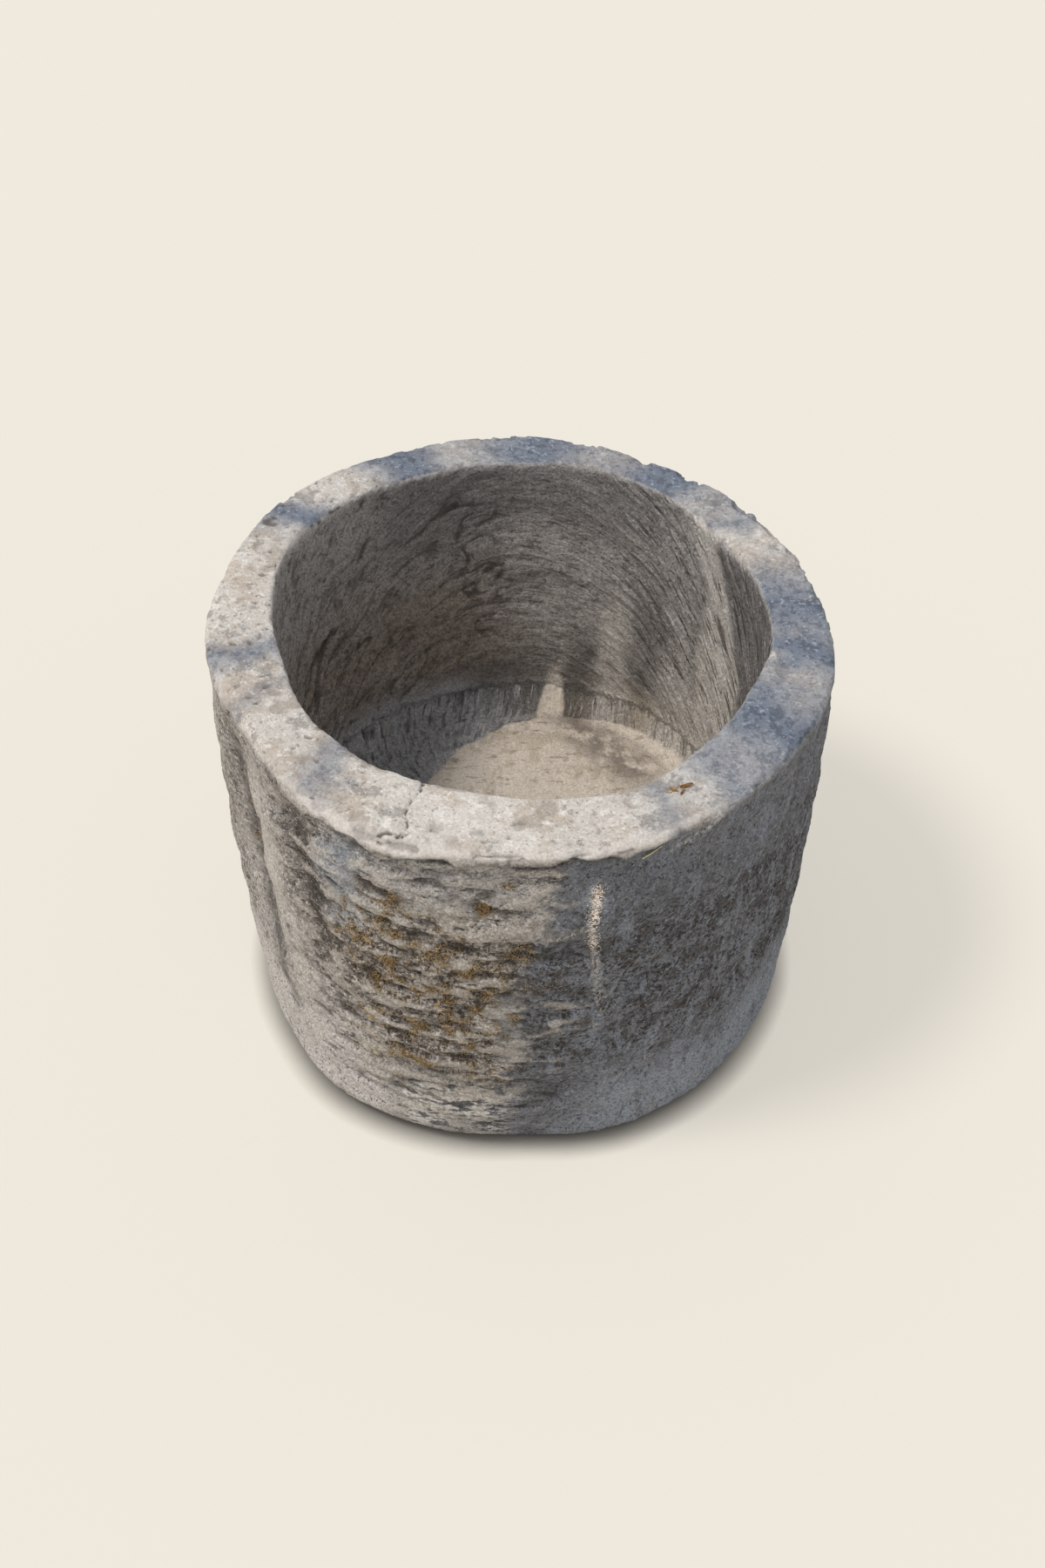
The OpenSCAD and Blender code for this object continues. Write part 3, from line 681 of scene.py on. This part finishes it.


# Weathered limestone: chalky and matte, cream where rain washes it and slate grey where algae grow;
# some layers are painted light and shade, as each says.
# Its layers: colour, where it lies, size in mm of its patches, start and end of their edge, share, and
# perhaps their stretch along z, or along z, x and y. With None, they are strokes that follow the tool.
stoneLayers = [
    ("#F3EEE7", None, 48, 0.46, 0.62, 0.75),  # cream bloom
    ("#BDB4AB", None, 24, 0.54, 0.66, 0.5),  # grey film
    ("#CBC4BC", "rim", 90, 0.25, 0.55, 0.6),  # thin grey skin
    ("#BFAE9C", "rim", 56, 0.5, 0.58, 0.55),  # warm stain
    ("#8F8A86", "rim", 30, 0.57, 0.61, 0.6),
    ("#9B8F84", "rim", 8, 0.58, 0.62, 0.35),
    ("#FAF7F1", "rim", 13, 0.57, 0.61, 0.45),  # washed spots
    ("#6E675F", "rim", 4.5, 0.6, 0.63, 0.6),
    ("#FBF8F3", "rim", 7, 0.58, 0.61, 0.45),
    ("#A79C90", "spall", 14, 0.3, 0.5, 0.7),  # fresh, rougher stone where it spalled
    ("#6F7A8B", "rimShade", 24, 0.26, 0.42, 0.94),  # painted shade on the rim, blue-grey where shadow falls
    ("#4B5463", "rimShade", 9, 0.51, 0.57, 0.6),
    ("#B4BCC8", "rimShade", 6, 0.58, 0.61, 0.6),
    ("#8A847D", None, 5, 0.61, 0.66, 0.45),  # dark freckles
    ("#BFB9B3", "outside", 60, 0.15, 0.4, 0.95),
    ("#918B86", "outside", 130, 0.5, 0.62, 0.6, 1.6),  # broad weather stains
    ("#77726E", "outside", 26, 0.57, 0.64, 0.5, 6),  # runs down from the rim
    ("#7B7A7D", "runs", 40, 0.5, 0.6, 0.7, 6),
    ("#D3CCC3", "runs", 30, 0.53, 0.62, 0.7, 7),
    ("#86837C", "splash", 60, 0.25, 0.6, 0.7),  # earth and rain splashed up the foot
    ("#6A645F", "ledged", 16, 0.5, 0.545, 0.85, 0.6),  # painted shade: dark streaks for shadow under the ledges
    ("#E8E1D8", "ledged", 12, 0.54, 0.575, 0.85, 0.5, 1.3, 1.3),  # painted light: pale streaks for lit ledge tops
    # thin streaks of painted shade and painted highlight along the ledges
    ("#37312C", "ledged", 6, 0.57, 0.6, 0.8, 0.6),
    ("#F6F2EB", "ledged", 6.5, 0.575, 0.605, 0.8, 0.6, 1.4, 1.4),
    ("#F2EDE9", "pale", 40, 0.15, 0.35, 0.88),
    ("#544C47", "hollowShade", 24, 0.2, 0.44, 0.9, 1.6),  # painted shade in the hollow
    ("#3F3833", "outside", 4.5, 0.57, 0.6, 0.85, 0.8),  # dark specks
    ("#F6F1EA", "outside", 4.2, 0.58, 0.605, 0.85, 0.7),  # chalk specks
    ("#8F9299", "slateAndShade", 60, 0, 0.15, 0.97),  # slate grey algae and painted shade of the flank turned from the light
    ("#A0A7B2", "slateAndShade", 24, 0.5, 0.6, 0.6, 1.3),
    ("#5B5C61", "slateAndShade", 13, 0.53, 0.58, 0.6, 0.7),
    ("#57504B", "mottle", 24, 0.49, 0.56, 0.7, 0.8),  # brown-black lichen
    ("#2F2A27", "mottle", 5.5, 0.525, 0.56, 0.85, 0.8),
    ("#ABB3C0", "slateAndShade", 22, 0.54, 0.62, 0.65, 4),  # bluish drips
    ("#B9C1CD", "bluish", 26, 0.32, 0.48, 0.9, 2),
    ("#4A4A4E", "slateAndShade", 5, 0.57, 0.61, 0.4, None),
    ("#B4BBC6", "slateAndShade", 4.5, 0.59, 0.63, 0.45, None),
    ("#38383B", "slateAndShade", 4, 0.57, 0.6, 0.75),
    ("#BDC4CE", "slateAndShade", 3.4, 0.6, 0.63, 0.8),
    ("#6C6F76", "flakes", 30, 0.2, 0.4, 0.85, 0.6),
    ("#F8F4ED", "flakes", 13, 0.46, 0.49, 0.95, 0.45, 1.6, 1.6),  # white flakes on the ledges
    ("#4C3A2A", "moss", 5, 0.52, 0.56, 0.85, 1.6),
    ("#D6B27A", "moss", 4, 0.58, 0.61, 0.85, 1.8),
    ("#A8A8A8", "smooth", 20, 0.1, 0.3, 0.9, 0.3),
    # painted shade along the groove, and painted light on the bank beside it
    ("#4C4843", "grooveShade", 16, 0.3, 0.5, 0.8, 2),
    ("#E8E1D8", "bankLight", 20, 0.34, 0.5, 0.8, 2),
    ("#DDD6CE", "arris", 40, 0.1, 0.3, 0.85),  # the rim's pale skin over the arris
    # painted highlight: pale lines along the ridge and a thin ledge, and a pale gash
    ("#FBF7F0", "streak", 4, 0.49, 0.53, 0.95, 1.6),
    ("#35312E", "underLip", 12, 0.34, 0.46, 0.95, 0.7),  # painted shadow under the lip
    ("#DFDAD6", "inside", 60, 0.1, 0.3, 0.95),
    ("#C4B09C", "earthy", 50, 0.3, 0.6, 0.6),  # earth splashed up from the floor
    ("#8B7562", "earthy", 9, 0.53, 0.58, 0.5, 0.8),
    # painted shade high in the cavity and beyond the painted sunlight
    ("#7C7C80", "cavityShade", 34, 0.2, 0.45, 0.75),
    ("#928D89", "inside", 18, 0.5, 0.6, 0.55, 0.6),
    ("#716B66", "inside", 4.5, 0.56, 0.6, 0.6, 0.8),  # torn grain
    ("#E3DED8", "inside", 4, 0.59, 0.62, 0.5, 0.8),
    ("#55504B", "inside", 3.6, 0.58, 0.61, 0.55, None),  # dirt in the strokes
    ("#4E4843", "tooled", 5, 0.55, 0.58, 0.8, None),
    ("#E9E3DB", "tooled", 3.6, 0.58, 0.61, 0.65, None),  # rubbed crests
    ("#9A9693", "floor", 50, 0.1, 0.4, 0.9),
    # painted light: the floor on the shaded left made pale
    ("#E0E1E5", "claws", 26, 0.1, 0.4, 0.9),
    ("#6E6964", "backShade", 20, 0.15, 0.45, 0.75),  # painted shade in the corner at the back
    ("#F4F4F6", "scored", 4.4, 0.55, 0.59, 0.8, None),
    # painted light on the floor at the right
    ("#D3C5B1", "floorLight", 30, 0.2, 0.45, 0.8),
    ("#FFFAF2", "paintedSunBand", 20, 0.1, 0.28, 0.98, 1.5),  # painted sunlight in a band on the right of the cavity
    # painted shadows of the tool strokes inside the painted sunlight
    ("#5F5146", "paintedSunBand", 6, 0.56, 0.585, 0.8, None),
    ("#E6DACB", "sunPool", 40, 0, 0.15, 0.95),  # painted sunlight on the floor, cream against the floor around it
    ("#C2B29C", "sunPool", 34, 0.52, 0.62, 0.6),
    # painted light: the pool's tongue up the wall
    ("#FFF8EE", "lightTongue", 30, 0, 0.15, 0.9),
    ("#8E7F6D", "sunPool", 9, 0.58, 0.62, 0.5, 1, 2.2, 0.8),  # scratches and clods
    # painted shade on the floor
    ("#7A6F64", "floorShade", 26, 0.34, 0.54, 0.8),
    ("#4B4A4D", "scored", 4.8, 0.56, 0.6, 0.6, None),
]
stoneLook = {
    "bare": "#E4DED6", "roughness": 0.92, "shine": 0.3, "strokeRatio": 9,
    # painted light and shade on the relief: crests painted pale as lit, hollows painted dark as shade,
    # pits darkened: mask, its start and end, share, colour
    "worn": [("proud", 0.3, 1.5, 0.6, "#E6DFD5"), ("proud", -0.8, -3.2, 0.8, "#47423D"),
             ("pit", 0, 1, 0.8, "#6A625A")],
    "grainSize": 2.8, "grainDark": "#C7C1BB", "strokeSize": 4, "strokeBump": 1.3,
    "bumps": [(2.6, 1.1), (6, 1.9), (15, 1.6)],
}


def stoneMaterial(look):
    material, tree = addMaterial("weatheredLimestone")
    tree.nodes.clear()
    place3 = addNode(tree, "TexCoord", out="Object")

    def mask(name):
        return addNode(tree, "Attribute", {"attribute_name": name}, out="Fac")

    spot = addNode(tree, "SeparateXYZ", {}, {0: place3}, out=None)
    toolPlace = addNode(tree, "CombineXYZ", {}, {0: spot["X"], 1: spot["Y"], 2: mask("toolAcross")})

    def patches(size, low, high, seed, z=1, x=1, y=1):
        if z:
            source, scale = place3, [1000 / size / s for s in (x, y, z)]
        else:
            along = 1000 / size / look["strokeRatio"]
            source, scale = toolPlace, (along, along, 1 / size)
        at = addNode(tree, "Mapping", {}, {
            "Vector": source, "Location": (seed * 1.7, seed * 0.9, seed * 0.4), "Scale": scale})
        field = addNode(tree, "TexNoise", {}, {
            "Vector": at, "Scale": 1, "Detail": 6, "Roughness": 0.68}, out="Fac")
        return addNode(tree, "MapRange", {"interpolation_type": "SMOOTHSTEP"}, {
            "Value": field, "From Min": low, "From Max": high}, out="Result")

    colour = linear(look["bare"])
    for k, (code, where, size, low, high, share, *stretch) in enumerate(stoneLayers):
        amount = patches(size, low, high, k + 1, *stretch)
        for factor in [share, mask(where)] if where else [share]:
            amount = addNode(tree, "Math", multiply, {0: amount, 1: factor})
        colour = addNode(tree, "Mix", colours, {"Factor": amount, 6: colour, 7: linear(code)}, out=2)
    # crests painted pale as lit and hollows painted dark as shade
    for name, low, high, share, code in look["worn"]:
        amount = addNode(tree, "MapRange", {}, {
            "Value": mask(name), "From Min": low, "From Max": high, "To Max": share}, out="Result")
        colour = addNode(tree, "Mix", colours, {"Factor": amount, 6: colour, 7: linear(code)}, out=2)

    # grain: the stone's own crystals and dust, drawn coarser than life so that it shows
    grain = patches(look["grainSize"], 0.35, 0.65, 40)
    coarse = mask("coarse")
    grain = addNode(tree, "Math", multiply, {0: grain, 1: coarse})
    colour = addNode(tree, "Mix", {**colours, "blend_type": "MULTIPLY"}, {
        "Factor": grain, 6: colour, 7: linear(look["grainDark"])}, out=2)

    # bump: the tool's fine strokes, and lumps of three sizes under them
    cuts = patches(look["strokeSize"], 0.35, 0.65, 60, None)
    cuts = addNode(tree, "Math", multiply, {0: cuts, 1: mask("cuts")})
    height = addNode(tree, "Math", multiply, {0: cuts, 1: look["strokeBump"]})
    for k, (size, tall) in enumerate(look["bumps"]):
        field = patches(size, 0.2, 0.8, 50 + k, 0.8)
        height = addNode(tree, "Math", {"operation": "MULTIPLY_ADD"}, {0: field, 1: tall, 2: height})
    bump = addNode(tree, "Bump", {}, {"Height": height, "Strength": coarse, "Distance": mm})
    shader = addNode(tree, "BsdfPrincipled", {}, {
        "Base Color": colour, "Roughness": look["roughness"], "Specular IOR Level": look["shine"],
        "Normal": bump})
    addNode(tree, "OutputMaterial", {}, {"Surface": shader})
    return material


step, turns, faceLimit = ((2.3, 880, 196000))
stone = buildStone("stoneBody", step, turns, faceLimit)
stone.data.materials.clear()
stone.data.materials.append(stoneMaterial(stoneLook))
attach(stone, "root")
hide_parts("stone_body")


# a tree that plants blades, or flat flakes, where a mask on the stone says, turned towards the light
def plantingTree(name, flat):
    tree = bpy.data.node_groups.new(name, "GeometryNodeTree")
    for label, kind in (("Geometry", "Geometry"), ("Mask", "String"), ("Per square metre", "Float"),
                        ("Length", "Float"), ("Width", "Float"), ("Lift", "Float"), ("Seed", "Int"),
                        ("Finish", "Material")):
        tree.interface.new_socket(label, in_out="INPUT", socket_type="NodeSocket" + kind)
    tree.interface.new_socket("Geometry", in_out="OUTPUT", socket_type="NodeSocketGeometry")
    given = addNode(tree, "NodeGroupInput", out=None)
    cover = addNode(tree, "GeometryNodeInputNamedAttribute", {}, {"Name": given["Mask"]}, out="Attribute")
    dense = addNode(tree, "Math", multiply, {0: cover, 1: given["Per square metre"]})
    spread = addNode(tree, "GeometryNodeDistributePointsOnFaces", {}, {
        "Mesh": given["Geometry"], "Density": dense, "Seed": given["Seed"]}, out=None)
    if flat:
        shape = addNode(tree, "GeometryNodeMeshIcoSphere", {}, {"Radius": given["Width"]}, out="Mesh")
        shape = addNode(tree, "GeometryNodeTransform", {}, {"Geometry": shape, "Scale": (1, 0.7, 0.35)})
    else:
        shape = addNode(tree, "GeometryNodeMeshCone", {"fill_type": "TRIANGLE_FAN"}, {
            "Vertices": 4, "Radius Top": 0, "Radius Bottom": given["Width"],
            "Depth": given["Length"]}, out="Mesh")
    # each blade stands out of the stone, shaken a little and lifted upwards
    way = addNode(tree, "FunctionNodeRandomValue", {"data_type": "FLOAT_VECTOR"}, {
        "Min": (-0.55, -0.55, -0.35), "Max": (0.55, 0.55, 0.55), "Seed": given["Seed"]}, out="Value")
    rise = addNode(tree, "CombineXYZ", {}, {"Z": given["Lift"]})
    for other in (spread["Normal"], rise):
        way = addNode(tree, "VectorMath", {}, {0: other, 1: way})
    turn = addNode(tree, "FunctionNodeAlignRotationToVector", {"axis": "Z"}, {"Vector": way})
    size = addNode(tree, "FunctionNodeRandomValue", {}, {2: 0.55, 3: 1, "Seed": given["Seed"]}, out=1)
    fuller = addNode(tree, "MapRange", {}, {"Value": cover, "To Min": 0.45, "To Max": 1})
    size = addNode(tree, "Math", multiply, {0: size, 1: fuller})
    done = addNode(tree, "GeometryNodeInstanceOnPoints", {}, {
        "Points": spread["Points"], "Instance": shape, "Rotation": turn, "Scale": size})
    tone = addNode(tree, "FunctionNodeRandomValue", {}, {2: 0, 3: 1, "Seed": 7}, out=1)
    done = addNode(tree, "GeometryNodeStoreNamedAttribute", {"domain": "INSTANCE"}, {
        "Geometry": done, "Name": "tone", "Value": tone})
    done = addNode(tree, "GeometryNodeRealizeInstances", {}, {"Geometry": done})
    done = addNode(tree, "GeometryNodeSetMaterial", {}, {"Geometry": done, "Material": given["Finish"]})
    addNode(tree, "NodeGroupOutput", {}, {"Geometry": done})
    return tree


# a soft matte growth whose pieces differ in tone, from the dark to the pale of three colours
def growthMaterial(name, dark, middle, pale, roughness, sheen):
    material, tree = addMaterial(name)
    tone = addNode(tree, "Attribute", {"attribute_name": "tone"}, out="Fac")
    spot = addNode(tree, "TexCoord", out="Object")
    mottle = addNode(tree, "TexNoise", {}, {"Vector": spot, "Scale": 160, "Detail": 3}, out="Fac")
    colour = linear(dark)
    for code, low, high, share in ((middle, 0.1, 0.55, 1), (pale, 0.6, 1, mottle)):
        amount = addNode(tree, "MapRange", {}, {"Value": tone, "From Min": low, "From Max": high})
        amount = addNode(tree, "Math", multiply, {0: amount, 1: share})
        colour = addNode(tree, "Mix", colours, {"Factor": amount, 6: colour, 7: linear(code)}, out=2)
    setInputs(tree, tree.nodes["Principled BSDF"], {
        "Base Color": colour, "Roughness": roughness, "Sheen Weight": sheen, "Specular IOR Level": 0.2})
    return material


# feather moss dried to a golden brown, and crustose lichen, chalky with orange fruit
dryMoss = growthMaterial("dryGoldenMoss", "#4A3A26", "#B0905A", "#E8D0A0", 0.9, 0.2)
mossSpeck = growthMaterial("dryMossSpecks", "#54402E", "#CBAF7E", "#F6EACC", 0.9, 0.1)
crust = growthMaterial("crustoseLichen", "#C9A27C", "#EAE1D6", "#F8F4EC", 0.95, 0)

plants = {
    # node that it stands for, flat or not, finish, number to a square metre, length, width, lift, seed
    "mossUpper": ("moss_upper", False, dryMoss, 2.2e6, 8, 0.9, 0.35, 11),
    "mossMiddle": ("moss_middle", False, dryMoss, 2e6, 7, 0.9, 0.35, 12),
    "mossLower": ("moss_lower", False, dryMoss, 1.8e6, 6.4, 0.85, 0.35, 13),
    "mossGroove": ("moss_groove", False, dryMoss, 1.4e6, 4.2, 0.85, 0.3, 14),
    "mossSpecks": ("moss_specks", False, mossSpeck, 1.2e6, 4.4, 0.7, 0.7, 15),
    "lichenRidge": ("lichen_ridge", True, crust, 1.1e6, 0, 1.6, 0.1, 16),
}
bladeTree, flakeTree = plantingTree("bladesOnStone", False), plantingTree("flakesOnStone", True)
for name, (node, flat, finish, number, length, width, lift, seed) in plants.items():
    plant = addObject(name, stone.data.copy())
    plant.data.materials.clear()
    planting = plant.modifiers.new("planting", "NODES")
    planting.node_group = flakeTree if flat else bladeTree
    items = planting.node_group.interface.items_tree
    sockets = {i.name: i.identifier for i in items if i.in_out == "INPUT"}
    for label, value in (("Mask", name), ("Per square metre", number), ("Length", length * mm),
                         ("Width", width * mm), ("Lift", lift), ("Seed", seed), ("Finish", finish)):
        planting[sockets[label]] = value
    asPlainMesh(plant)
    # the layers that the plant took over from the stone go again
    layers = plant.data.attributes
    for layer in [k.name for k in layers if k.name in stone.data.attributes and not k.is_required]:
        layers.remove(layers[layer])
    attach(plant, "root")
    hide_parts(node)
    print(name + ":", len(plant.data.polygons), "faces")


surface = BVHTree.FromObject(stone, bpy.context.evaluated_depsgraph_get())


# the stone's own point nearest to a place, and the way out of the stone there
def onStone(place3):
    at, out, *_ = surface.find_nearest(Vector(place3))
    return at, out


# a tapered tube along points, closed at both ends
def tube(name, points, radii, sides):
    verts, faces = [], []
    for k, (point, radius) in enumerate(zip(points, radii)):
        way = (points[min(k + 1, len(points) - 1)] - points[max(k - 1, 0)]).normalized()
        side = way.orthogonal().normalized()
        for j in range(sides):
            turn = 2 * math.pi * j / sides
            verts.append(point + radius * (math.cos(turn) * side + math.sin(turn) * way.cross(side)))
    for k in range(len(points) - 1):
        for j in range(sides):
            here, over = k * sides + j, k * sides + (j + 1) % sides
            faces.append((here, over, over + sides, here + sides))
    faces += [tuple(range(sides))[::-1], tuple(range(len(verts) - sides, len(verts)))]
    mesh = bpy.data.meshes.new(name)
    mesh.from_pydata(verts, [], faces)
    mesh.shade_smooth()
    return addObject(name, mesh)


# the dry stalk under the rim
stalkLook = {"radius": 0.9, "tip": 0.45, "bow": 0.8, "rings": 24, "sides": 10, "smooth": 4}
low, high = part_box("grass_stalk")
last, smooth = stalkLook["rings"] - 1, stalkLook["smooth"]
radii = [lerp(stalkLook["radius"], stalkLook["tip"], k / last) for k in range(last + 1)]
points = []
for k, radius in enumerate(radii):
    at, out = onStone(low.lerp(high, k / last))
    points.append(at + out * (radius * 0.9 + stalkLook["bow"] * math.sin(math.pi * k / last)) * mm)
# the stone's lumps are smoothed out of the stalk's way
near = [[points[max(0, min(last, k + d))] for d in range(-smooth, smooth + 1)] for k in range(last + 1)]
points = [sum(some, Vector()) / len(some) for some in near]
stalk = tube("grassStalk", points, [r * mm for r in radii], stalkLook["sides"])


# a dry plant fibre, straw or leaf, with darker veins and spots
def fibreMaterial(name, dark, pale, size):
    material, tree = addMaterial(name)
    spot = addNode(tree, "TexCoord", out="Object")
    streaks = addNode(tree, "TexNoise", {}, {"Vector": spot, "Scale": 1000 / size, "Detail": 4}, out="Fac")
    amount = addNode(tree, "MapRange", {}, {"Value": streaks, "From Min": 0.35, "From Max": 0.65})
    colour = addNode(tree, "Mix", colours, {"Factor": amount, 6: linear(dark), 7: linear(pale)}, out=2)
    bump = addNode(tree, "Bump", {}, {"Height": streaks, "Strength": 0.6, "Distance": 0.3 * mm})
    setInputs(tree, tree.nodes["Principled BSDF"], {
        "Base Color": colour, "Normal": bump, "Roughness": 0.6})
    return material


stalk.data.materials.append(fibreMaterial("dryStraw", "#BCA877", "#EBDDB4", 3))
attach(stalk, "root")
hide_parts("grass_stalk")

# curled leaf scraps and thin stems, by where they lie across the box of their node, in mm and degrees
scraps = [
    {"x": 0.78, "y": 0.72, "length": 13, "width": 3.8, "heading": 18, "curl": 1.6},
    {"x": 0.3, "y": 0.45, "length": 9, "width": 2.6, "heading": -35, "curl": 1.2},
    {"x": 0.62, "y": 0.25, "length": 8, "width": 2.2, "heading": 62, "curl": 1},
]
stems = [
    {"x": 0.35, "y": 0.5, "length": 14, "heading": 48},
    {"x": 0.6, "y": 0.55, "length": 11, "heading": -58},
    {"x": 0.2, "y": 0.3, "length": 8, "heading": 10},
]
stemLook = {"rings": 12, "lift": 0.6, "radius": 0.5, "tip": 0.25, "sides": 8}
leafThick = 0.35
low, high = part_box("leaf_scraps")


# a scrap's or stem's middle, level with the top of the box, and its turn
def laid(item):
    middle = Vector((lerp(low.x, high.x, item["x"]), lerp(low.y, high.y, item["y"]), high.z))
    return middle, math.radians(item["heading"])


verts, faces = [], []
cols, rows = 13, 7
for scrap in scraps:
    middle, turn = laid(scrap)
    first = len(verts)
    for i, j in product(range(cols), range(rows)):
        s, t = i / (cols - 1), 2 * j / (rows - 1) - 1
        # a leaf's outline with a ragged edge, its sides and ends curled up
        half = scrap["width"] / 2 * max(0.12, math.sin(math.pi * min(1, 0.06 + 0.94 * s)) ** 0.7)
        u, v = (s - 0.5) * scrap["length"], t * half * (1 + 0.1 * math.sin(9 * s + 2 * j))
        x, y = u * math.cos(turn) - v * math.sin(turn), u * math.sin(turn) + v * math.cos(turn)
        spot = middle + Vector((x * mm, y * mm, 0))
        lift = leafThick + scrap["curl"] * (t * t * 0.9 + 0.5 * (2 * s - 1) ** 2)
        verts.append((spot.x, spot.y, onStone(spot)[0].z + lift * mm))
        if i and j:
            here = first + i * rows + j
            faces.append((here - rows - 1, here - 1, here, here - rows))
leafMesh = bpy.data.meshes.new("leafScraps")
leafMesh.from_pydata(verts, [], faces)
leafMesh.shade_smooth()
leaves = addObject("leafScraps", leafMesh)
thick = leaves.modifiers.new("thick", "SOLIDIFY")
thick.thickness = leafThick * mm
thick.offset = 0
asPlainMesh(leaves)
leaves.data.materials.append(fibreMaterial("dryLeaf", "#4A3218", "#A27434", 4))
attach(leaves, "root")
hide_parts("leaf_scraps")
straw = fibreMaterial("dryStem", "#8A6A3C", "#C9AE77", 3)
for k, stem in enumerate(stems):
    middle, turn = laid(stem)
    way = Vector((math.cos(turn), math.sin(turn), 0)) * stem["length"] * mm
    points, radii = [], []
    for i in range(stemLook["rings"]):
        share = i / (stemLook["rings"] - 1)
        at, out = onStone(middle + way * (share - 0.5))
        points.append(at + out * stemLook["lift"] * mm)
        radii.append(lerp(stemLook["radius"], stemLook["tip"], share) * mm)
    twig = tube("stem" + str(k), points, radii, stemLook["sides"])
    twig.data.materials.append(straw)
    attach(twig, "root")
print("stalk and scraps laid")


# the stage: a plain floor, soft light, and the camera where the photographer's was
stageLook = {
    "ground": "#EFE9DD", "reach": 30, "litPaper": "#E2DCD1", "shadowFill": 0.62,
    "contactShadow": "#2A2623", "contact": 0.03, "contactFall": 1.8,
    "sunColour": (1, 0.975, 0.94), "sunStrength": 2.05, "sunAngle": 14, "sunFrom": 197, "sunHeight": 60,
    "skyColour": (0.96, 0.985, 1.03, 1), "skyStrength": 0.62,
    "eye": (0.00325, -1.62031, 1.85551), "tilt": 44.6, "lens": 47.48, "film": 36, "farthest": 100,
}

reach = stageLook["reach"]
floorMesh = bpy.data.meshes.new("ground")
floorMesh.from_pydata([(-reach, -reach, 0), (reach, -reach, 0), (reach, reach, 0), (-reach, reach, 0)],
                      [], [(0, 1, 2, 3)])
ground = addObject("ground", floorMesh)
# pale matte paper: seen by the camera, much of its colour is its own, so that shadows on it stay light
palePaper, tree = addMaterial("palePaper")
rays = addNode(tree, "LightPath", out=None)
plain = addNode(tree, "Emission", {}, {"Color": linear(stageLook["ground"])})
# close under the pot that share falls away and the paper darkens to a painted contact shadow,
# so that the pot sits in a dark line
openness = addNode(tree, "AmbientOcclusion", {"samples": 8}, {"Distance": stageLook["contact"]}, out="AO")
openness = addNode(tree, "Math", {"operation": "POWER"}, {0: openness, 1: stageLook["contactFall"]})
share = stageLook["shadowFill"]
for factor in (rays["Is Camera Ray"], openness):
    share = addNode(tree, "Math", multiply, {0: factor, 1: share})
paper = addNode(tree, "Mix", colours, {
    "Factor": openness, 6: linear(stageLook["contactShadow"]), 7: linear(stageLook["litPaper"])}, out=2)
shader = tree.nodes["Principled BSDF"]
setInputs(tree, shader, {"Base Color": paper, "Roughness": 0.95, "Specular IOR Level": 0})
mixed = addNode(tree, "MixShader", {}, {0: share, 1: shader.outputs[0], 2: plain})
setInputs(tree, tree.nodes["Material Output"], {"Surface": mixed})
floorMesh.materials.append(palePaper)

sun = addObject("keyLight", bpy.data.lights.new("keyLight", "SUN"))
sun.data.energy = stageLook["sunStrength"]
sun.data.angle = math.radians(stageLook["sunAngle"])
sun.data.color = stageLook["sunColour"]
turn, rise = math.radians(stageLook["sunFrom"]), math.radians(stageLook["sunHeight"])
toSun = Vector((math.cos(turn) * math.cos(rise), math.sin(turn) * math.cos(rise), math.sin(rise)))
sun.rotation_euler = toSun.to_track_quat("Z", "Y").to_euler()

world = bpy.data.worlds.new("studio")
bpy.context.scene.world = world
world.use_nodes = True
sky = world.node_tree
sky.nodes.clear()
# the camera, and what shines or lets light through, see the pale backdrop in place of the fill light
rays = addNode(sky, "LightPath", out=None)
seen = rays["Is Camera Ray"]
for kind in ("Is Glossy Ray", "Is Transmission Ray"):
    seen = addNode(sky, "Math", {"operation": "MAXIMUM"}, {0: seen, 1: rays[kind]})
fill = addNode(sky, "Background", {}, {
    "Color": stageLook["skyColour"], "Strength": stageLook["skyStrength"]})
backdrop = addNode(sky, "Background", {}, {"Color": linear(stageLook["ground"])})
both = addNode(sky, "MixShader", {}, {0: seen, 1: fill, 2: backdrop})
addNode(sky, "OutputWorld", {}, {"Surface": both})

camera = addObject("camera", bpy.data.cameras.new("camera"))
camera.location = stageLook["eye"]
camera.rotation_euler = (math.radians(90 - stageLook["tilt"]), 0, 0)
camera.data.lens = stageLook["lens"]
camera.data.sensor_width = stageLook["film"]
camera.data.clip_end = stageLook["farthest"]
bpy.context.scene.camera = camera
bpy.context.scene.view_settings.view_transform = "Standard"
print("stage set")
